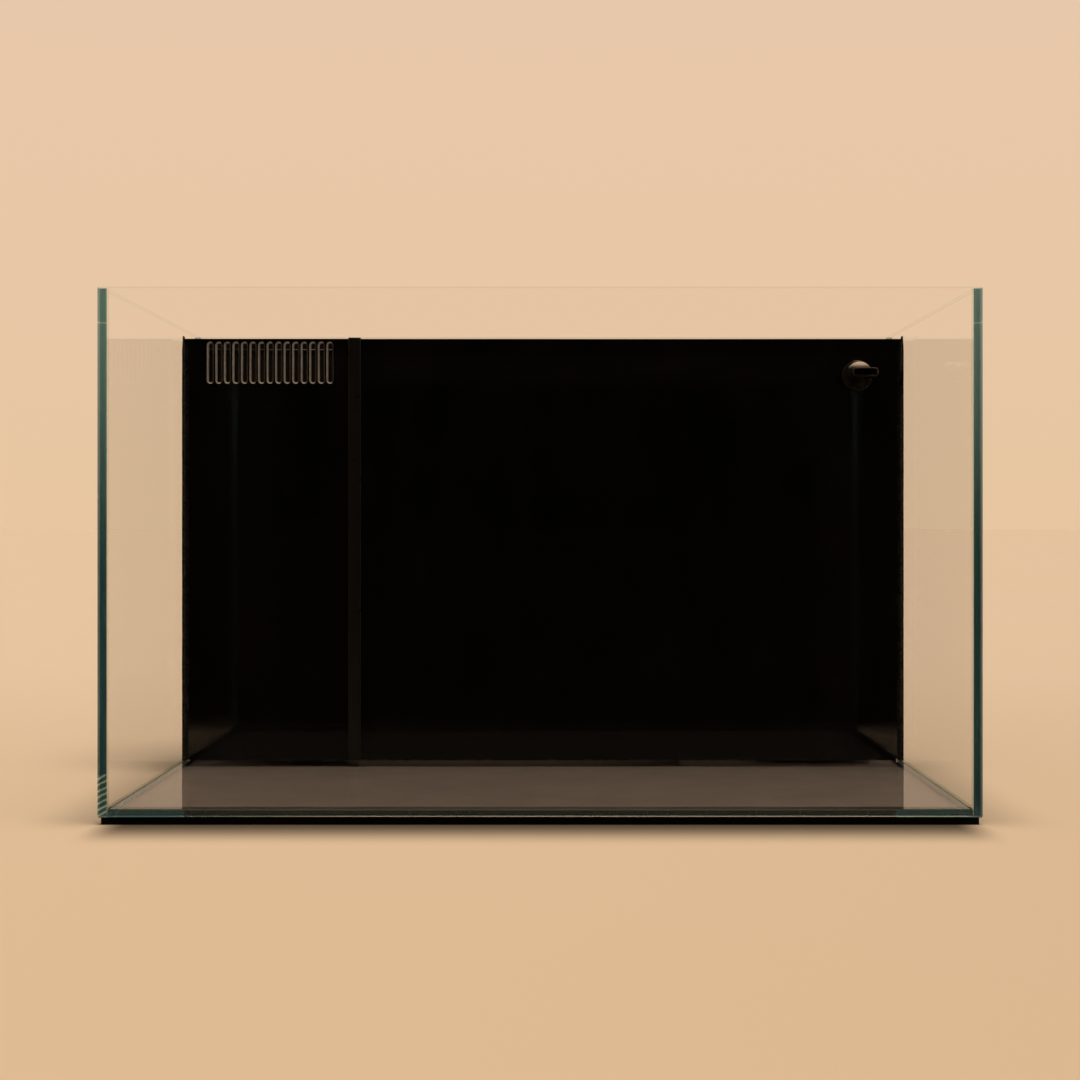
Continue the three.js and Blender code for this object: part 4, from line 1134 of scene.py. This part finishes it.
class AQUARIUM_OT_return_line(bpy.types.Operator):
    """Make the bulkhead, the elbow, the hose and its clips"""

    bl_idname = "aquarium.return_line"
    bl_label = "Return line"

    def execute(self, context):
        self.bulkhead()
        self.elbow()
        self.hose()
        for node in ("hose_clamp_upper", "hose_clamp_lower"):
            self.clip(node)
        return {"FINISHED"}

    def bulkhead(self):
        low, high = corners("bulkhead_body")
        axis = Vector((BALL.x, 0, BALL.z))
        front, end = low.y / MM, high.y / MM
        flange = (high.x - low.x) / 2 / MM
        barrel, bore, stem = 9.6, 4.6, 5.3
        back = front + 2.5
        thread = [(barrel - 0.45 * (i % 2), back + 9 + i * 0.75) for i in range(18)]
        body = [
            (stem, front + 0.3),
            (stem + 0.3, front),
            *arc(flange - 0.9, front + 0.9, 0.9, -90, 0, 5),
            (flange, back),
            (barrel, back),
            *thread,
            (barrel - 0.5, end),
            (bore, end),
            (bore, front + 12),
            (stem, front + 12),
        ]
        bm = bmesh.new()
        turn(bm, body, "Y", axis, 72)
        piece("bulkhead_fitting", bm, [FINISH["moulded"]], "bulkhead_body")
        near, far = (corner.y / MM for corner in corners("bulkhead_gasket"))
        hole, swell = 10.2, 0.6
        bulge = [(hole, near), *arc(flange - swell, (near + far) / 2, swell, -90, 90, 6), (hole, far)]
        bm = bmesh.new()
        turn(bm, bulge, "Y", axis, 72)
        piece("flange_seal", bm, [FINISH["rubber"]], "bulkhead_gasket")
        refined("lock_nut", "bulkhead_nut", FINISH["moulded"], 0.5 * MM)

    def elbow(self):
        low, high = corners("return_elbow")
        run_y, bend = high.y - ELBOW * MM, 10 * MM
        shoulder = BALL.z - 14 * MM
        cup, hole, bore = 12, 9.9, 4.6
        # Each stop is a distance along the cup, then its outer and inner radius.
        stops = [(0, cup - 0.6, hole), (0.6, cup, hole), (9.7, cup, hole)]
        stops += [(9.9, cup, bore), (11.2, cup, bore), (11.4, 9.4, bore)]
        path = [(low.y + way * MM, BALL.z, outer, inner) for way, outer, inner in stops]
        path += [(y, z, ELBOW, bore) for y, z in arc(run_y - bend, BALL.z - bend, bend, 88, 0, 14)]
        path.append((run_y, shoulder, 9.2, bore))
        path += [(run_y, shoulder - way * MM, radius, bore) for way, radius in barb(22, 6.0)]
        bm = bmesh.new()
        places = [(BALL.x, y, z) for y, z, _, _ in path]
        tube(bm, places, [stop[2] * MM for stop in path], [stop[3] * MM for stop in path], 40)
        piece("elbow_with_barb", bm, [FINISH["moulded"]], "return_elbow")

    def hose(self):
        low, high = corners("return_hose")
        outer, inner, straight = 8.3 * MM, 6.3 * MM, 26 * MM
        top = Vector((high.x - outer, corners("return_elbow")[1].y - ELBOW * MM, high.z))
        bottom = Vector((low.x + outer, PUMP.y, low.z))
        upper, lower = top - Vector((0, 0, straight)), bottom + Vector((0, 0, straight))
        pull = Vector((0, 0, (upper.z - lower.z) * BEZIER_PULL))
        path = [top, top.lerp(upper, 0.5)]
        steps = 70
        for i in range(steps + 1):
            t = i / steps
            a, b, c, d = (1 - t) ** 3, 3 * t * (1 - t) ** 2, 3 * t * t * (1 - t), t**3
            path.append(upper * a + (upper - pull) * b + (lower + pull) * c + lower * d)
        path += [lower.lerp(bottom, 0.5), bottom]
        bm = bmesh.new()
        tube(bm, path, [outer] * len(path), [inner] * len(path), 36)
        piece("vinyl_hose", bm, [FINISH["vinyl"]], "return_hose")

    def clip(self, node):
        """A ratchet clip: a moulded band with a toothed tongue through its jaw."""
        low, high = corners(node)
        outer = (high.y - low.y) / 2
        middle = Vector((high.x - outer, (low.y + high.y) / 2, 0))
        bottom, top = low.z / MM, high.z / MM
        band = [(8.6, bottom + 0.2), (8.8, bottom), (outer / MM - 0.4, bottom), (outer / MM, bottom + 0.4)]
        band += [(outer / MM, top - 0.4), (outer / MM - 0.4, top), (8.8, top), (8.6, top - 0.2)]
        bm = bmesh.new()
        turn(bm, band, "Z", middle, 64)
        jaw = middle.x - outer + 0.4 * MM
        box_mesh(bm, (low.x, middle.y - 4.5 * MM, low.z), (jaw, middle.y - 0.8 * MM, high.z), 0.4 * MM)
        box_mesh(bm, (low.x, middle.y + 0.8 * MM, low.z), (jaw, middle.y + 4.5 * MM, high.z), 0.4 * MM)
        for i in range(5):
            x = low.x + (0.3 + i * 0.55) * MM
            box_mesh(
                bm,
                (x, middle.y - 0.95 * MM, low.z + 1 * MM),
                (x + 0.3 * MM, middle.y + 0.95 * MM, high.z - 1 * MM),
                0.05 * MM,
                1,
            )
        piece(f"{node}_clip", bm, [FINISH["nylon"]], node)


# ---- media basket ---------------------------------------------------------------------------------


RING_SEED, SPIN_SEED = 3, 8


def ring_bed_tree(finish):
    """Geometry Nodes: loose rings in layers, each turned its own way."""
    inputs = {"Ring": "Geometry", "Columns": "Int", "Rows": "Int", "Layers": "Int"}
    inputs |= {"Low Corner": "Vector", "Step": "Vector", "Looseness": "Float"}
    tree, given = node_group("ring_bed", inputs, "Bed")

    def vector(operation, values):
        return add(tree, "ShaderNodeVectorMath", {"operation": operation}, values).outputs[0]

    def random(low, high, seed):
        limits = {0: (low,) * 3, 1: (high,) * 3, "Seed": seed}
        return add(tree, "FunctionNodeRandomValue", {"data_type": "FLOAT_VECTOR"}, limits).outputs[0]

    flat = calculate(tree, "MULTIPLY", given["Columns"], given["Rows"])
    count = calculate(tree, "MULTIPLY", flat, given["Layers"])
    points = add(tree, "GeometryNodePoints", inputs={"Count": count})
    index = add(tree, "GeometryNodeInputIndex").outputs[0]
    column = calculate(tree, "MODULO", index, given["Columns"])
    full_rows = calculate(tree, "FLOOR", calculate(tree, "DIVIDE", index, given["Columns"]))
    row = calculate(tree, "MODULO", full_rows, given["Rows"])
    layer = calculate(tree, "FLOOR", calculate(tree, "DIVIDE", index, flat))
    cell = add(tree, "ShaderNodeCombineXYZ", inputs={"X": column, "Y": row, "Z": layer}).outputs[0]
    steps = vector("MULTIPLY", {0: cell, 1: given["Step"]})
    placed = vector("ADD", {0: steps, 1: given["Low Corner"]})
    shaken = vector("SCALE", {0: random(-1, 1, RING_SEED), "Scale": given["Looseness"]})
    moving = {"Geometry": points.outputs[0], "Position": placed, "Offset": shaken}
    moved = add(tree, "GeometryNodeSetPosition", inputs=moving)
    spin = random(0, 2 * math.pi, SPIN_SEED)
    placing = {"Points": moved.outputs[0], "Instance": given["Ring"], "Rotation": spin}
    rings = add(tree, "GeometryNodeInstanceOnPoints", inputs=placing)
    return dressed(tree, rings.outputs[0], finish, "Bed")


class AQUARIUM_OT_basket(bpy.types.Operator):
    """Make the media basket with its trays, handle and fillings"""

    bl_idname = "aquarium.basket"
    bl_label = "Media basket"

    def execute(self, context):
        acrylic = FINISH["acrylic"]
        for node in ("basket_shell", "tray_lower", "tray_upper", "basket_handle"):
            refined(f"{node}_sheet", node, acrylic, 0.35 * MM, "basket")
        self.rings()
        self.soft_block("sponge_block", "coarse_sponge", "sponge", 2.2, 0.5, 0.8)
        self.soft_block("floss_block", "floss_pad", "floss", 2.0, 1.6, 0.6)
        return {"FINISHED"}

    def rings(self):
        low, high = corners("ceramic_media")
        outer, inner, half, ease = 6.0, 3.0, 5.5, 0.5
        bm = bmesh.new()
        profile = [(inner, -half), (outer - ease, -half), (outer, ease - half)]
        profile += [(outer, half - ease), (outer - ease, half), (inner, half)]
        turn(bm, profile, "Z", (0, 0, 0), 14)
        obj = as_object("ceramic_rings", bm)
        shake = 0.7 * MM
        margin = Vector((8.2 * MM + shake,) * 3)  # a ring reaches 8.2 mm from its middle, however it lies
        counts = (9, 4, 6)
        room = high - low - 2 * margin
        values = dict(zip(("Columns", "Rows", "Layers"), counts))
        values["Low Corner"] = tuple(low + margin)
        values["Step"] = tuple(room[i] / (counts[i] - 1) for i in range(3))
        values["Looseness"] = shake
        run_group(obj, ring_bed_tree(FINISH["porous_ceramic"]), values)
        smooth(obj.data, math.radians(50))
        settle(obj, "ceramic_media", "basket")

    def soft_block(self, name, node, finish, cell_mm, depth_mm, fill):
        """A cut block of foam or wadding: its faces are uneven and its corners pull in."""
        low, high = corners(node)
        bm = bmesh.new()
        box_mesh(bm, low, high, 4 * MM, 3)
        size = high - low
        for axis in range(3):
            way = Vector([i == axis for i in range(3)])
            count = int(size[axis] / (cell_mm * MM))
            for i in range(1, count):
                at = low + way * (size[axis] * i / count)
                everything = bm.verts[:] + bm.edges[:] + bm.faces[:]
                bmesh.ops.bisect_plane(bm, geom=everything, plane_co=at, plane_no=way, dist=1e-7)
        bm.normal_update()
        for v in bm.verts:
            lumps = noise_at(v.co * 90) * 0.5 + 0.5
            fuzz = noise_at(v.co * 400) * 0.5 + 0.5
            v.co -= v.normal * (depth_mm * MM * (0.6 * lumps + 0.4 * fuzz))
        made = piece(name, bm, [FINISH[finish]], node, "basket", math.radians(80))


# ---- pump -----------------------------------------------------------------------------------------


class AQUARIUM_OT_pump(bpy.types.Operator):
    """Make the return pump: housing, volute, rotor, intake cage, dial, feet and gland"""

    bl_idname = "aquarium.pump"
    bl_label = "Return pump"

    def execute(self, context):
        shell, rubber = FINISH["pump_shell"], FINISH["rubber"]
        self.housing()
        refined("volute_cover", "pump_volute", shell, 0.3 * MM, axle=PUMP)
        refined("strainer_cage", "intake_cage", shell, 0.25 * MM, axle=PUMP)
        refined("dial", "flow_dial", FINISH["moulded"], 0.25 * MM, "dial", axle=PUMP)
        refined("impeller_wheel", "impeller", FINISH["nylon"], 0.12 * MM, "rotor", axle=PUMP)
        refined("front_bush", "bush_front", rubber, 0.2 * MM)
        refined("rear_bush", "bush_rear", rubber, 0.2 * MM)
        self.round_part("magnet_sleeve", "rotor_magnet", "magnet", "magnet", 4.3, 0.6, "rotor")
        self.round_part("ceramic_shaft", "pump_shaft", "alumina", "ceramic", 0, 0.3, "tank")
        for i in range(1, 5):
            self.foot(f"pump_foot_{i}")
        self.gland()
        return {"FINISHED"}

    def housing(self):
        low, high = corners("pump_housing")
        obj = refined("motor_housing", "pump_housing", FINISH["pump_shell"], 0.6 * MM)
        bm = bmesh.new()
        bm.from_mesh(obj.data)
        ribs, rib, first, pitch, short = 7, 1.2 * MM, 7 * MM, 5.2 * MM, 9.5 * MM
        proud, sunk = 0.9 * MM, 0.6 * MM
        for i in range(ribs):
            x = low.x + first + i * pitch
            for y0, y1 in ((low.y - proud, low.y + sunk), (high.y - sunk, high.y + proud)):
                box_mesh(bm, (x, y0, low.z + short), (x + rib, y1, high.z - short), 0.3 * MM)
        bm.to_mesh(obj.data)
        bm.free()
        smooth(obj.data)

    def round_part(self, name, node, finish, slot, bore, ease, body):
        """A plain turned piece on the pump's axle, with its rims eased."""
        low, high = corners(node)
        middle = (low + high) / 2
        middle.x = 0
        radius = (high.y - low.y) / 2 / MM
        start, end = low.x / MM, high.x / MM
        profile = [(bore, start), *arc(radius - ease, start + ease, ease, -90, 0, 4)]
        profile += [*arc(radius - ease, end - ease, ease, 0, 90, 4), (bore, end)]
        bm = bmesh.new()
        turn(bm, profile, "X", middle)
        piece(name, bm, [FINISH[finish]], node, body)

    def foot(self, node):
        low, high = corners(node)
        middle = (low + high) / 2
        base, top = low.z / MM, high.z / MM
        hollow, rim, waist, plug = 14.1, 7.9, 4.1, 2
        cup = [(0, base + 1.4), *arc(0, base + 1.4 + hollow, hollow, -88, -66, 5)]
        cup += [(6.6, base), (8, base), (rim, base + 0.5)]
        cup += [*arc(rim, base + 0.5 + waist, waist, -90, -176, 8), (3.6, top - 4.4), (plug, top - 4.2)]
        cup += [(plug, top - 0.4), (plug - 0.4, top), (0, top)]
        bm = bmesh.new()
        turn(bm, cup, "Z", (middle.x, middle.y, 0), 40)
        piece(f"{node}_cup", bm, [FINISH["rubber"]], node)

    def gland(self):
        low, high = corners("cord_gland")
        middle = (low + high) / 2
        base = corners("pump_housing")[1].z / MM
        foot, top = low.z / MM, high.z / MM
        neck, collar, bore = 4, 5.6, 2.4
        profile = [(0, foot), (neck, foot), (neck, base + 0.2), (collar, base + 0.3), (collar, base + 2)]
        for i in range(4):
            at, fat, thin = base + 2.4 + i * 2.5, 4.4 - i * 0.3, 3.7 - i * 0.3
            profile += [(fat, at), (fat, at + 1.2), (thin, at + 1.5), (thin, at + 2.3)]
        profile += [(2.8, top), (bore, top), (bore, base + 4), (0, base + 4)]
        bm = bmesh.new()
        turn(bm, profile, "Z", (middle.x, middle.y, 0), 40)
        piece("gland_boot", bm, [FINISH["rubber"]], "cord_gland")


# ---- panel and start ------------------------------------------------------------------------------

OPERATORS = (
    AQUARIUM_OT_stage,
    AQUARIUM_OT_panes,
    AQUARIUM_OT_seams,
    AQUARIUM_OT_mat,
    AQUARIUM_OT_wall,
    AQUARIUM_OT_nozzle,
    AQUARIUM_OT_return_line,
    AQUARIUM_OT_basket,
    AQUARIUM_OT_pump,
)


class AQUARIUM_PT_panel(bpy.types.Panel):
    """Lists the aquarium's operators"""

    bl_label = "Aquarium"
    bl_idname = "AQUARIUM_PT_panel"
    bl_space_type = "VIEW_3D"
    bl_region_type = "UI"
    bl_category = "Aquarium"

    def draw(self, context):
        for operator in OPERATORS:
            self.layout.operator(operator.bl_idname)


def register():
    for item in (AquariumSettings, *OPERATORS, AQUARIUM_PT_panel):
        bpy.utils.register_class(item)
    bpy.types.Scene.aquarium = bpy.props.PointerProperty(type=AquariumSettings)


def unregister():
    del bpy.types.Scene.aquarium
    for item in reversed((AquariumSettings, *OPERATORS, AQUARIUM_PT_panel)):
        bpy.utils.unregister_class(item)


def main():
    register()
    FINISH.update(make_finishes(bpy.context.scene.aquarium))
    for operator in OPERATORS:
        group, name = operator.bl_idname.split(".")
        getattr(getattr(bpy.ops, group), name)()


if __name__ == "__main__":
    main()
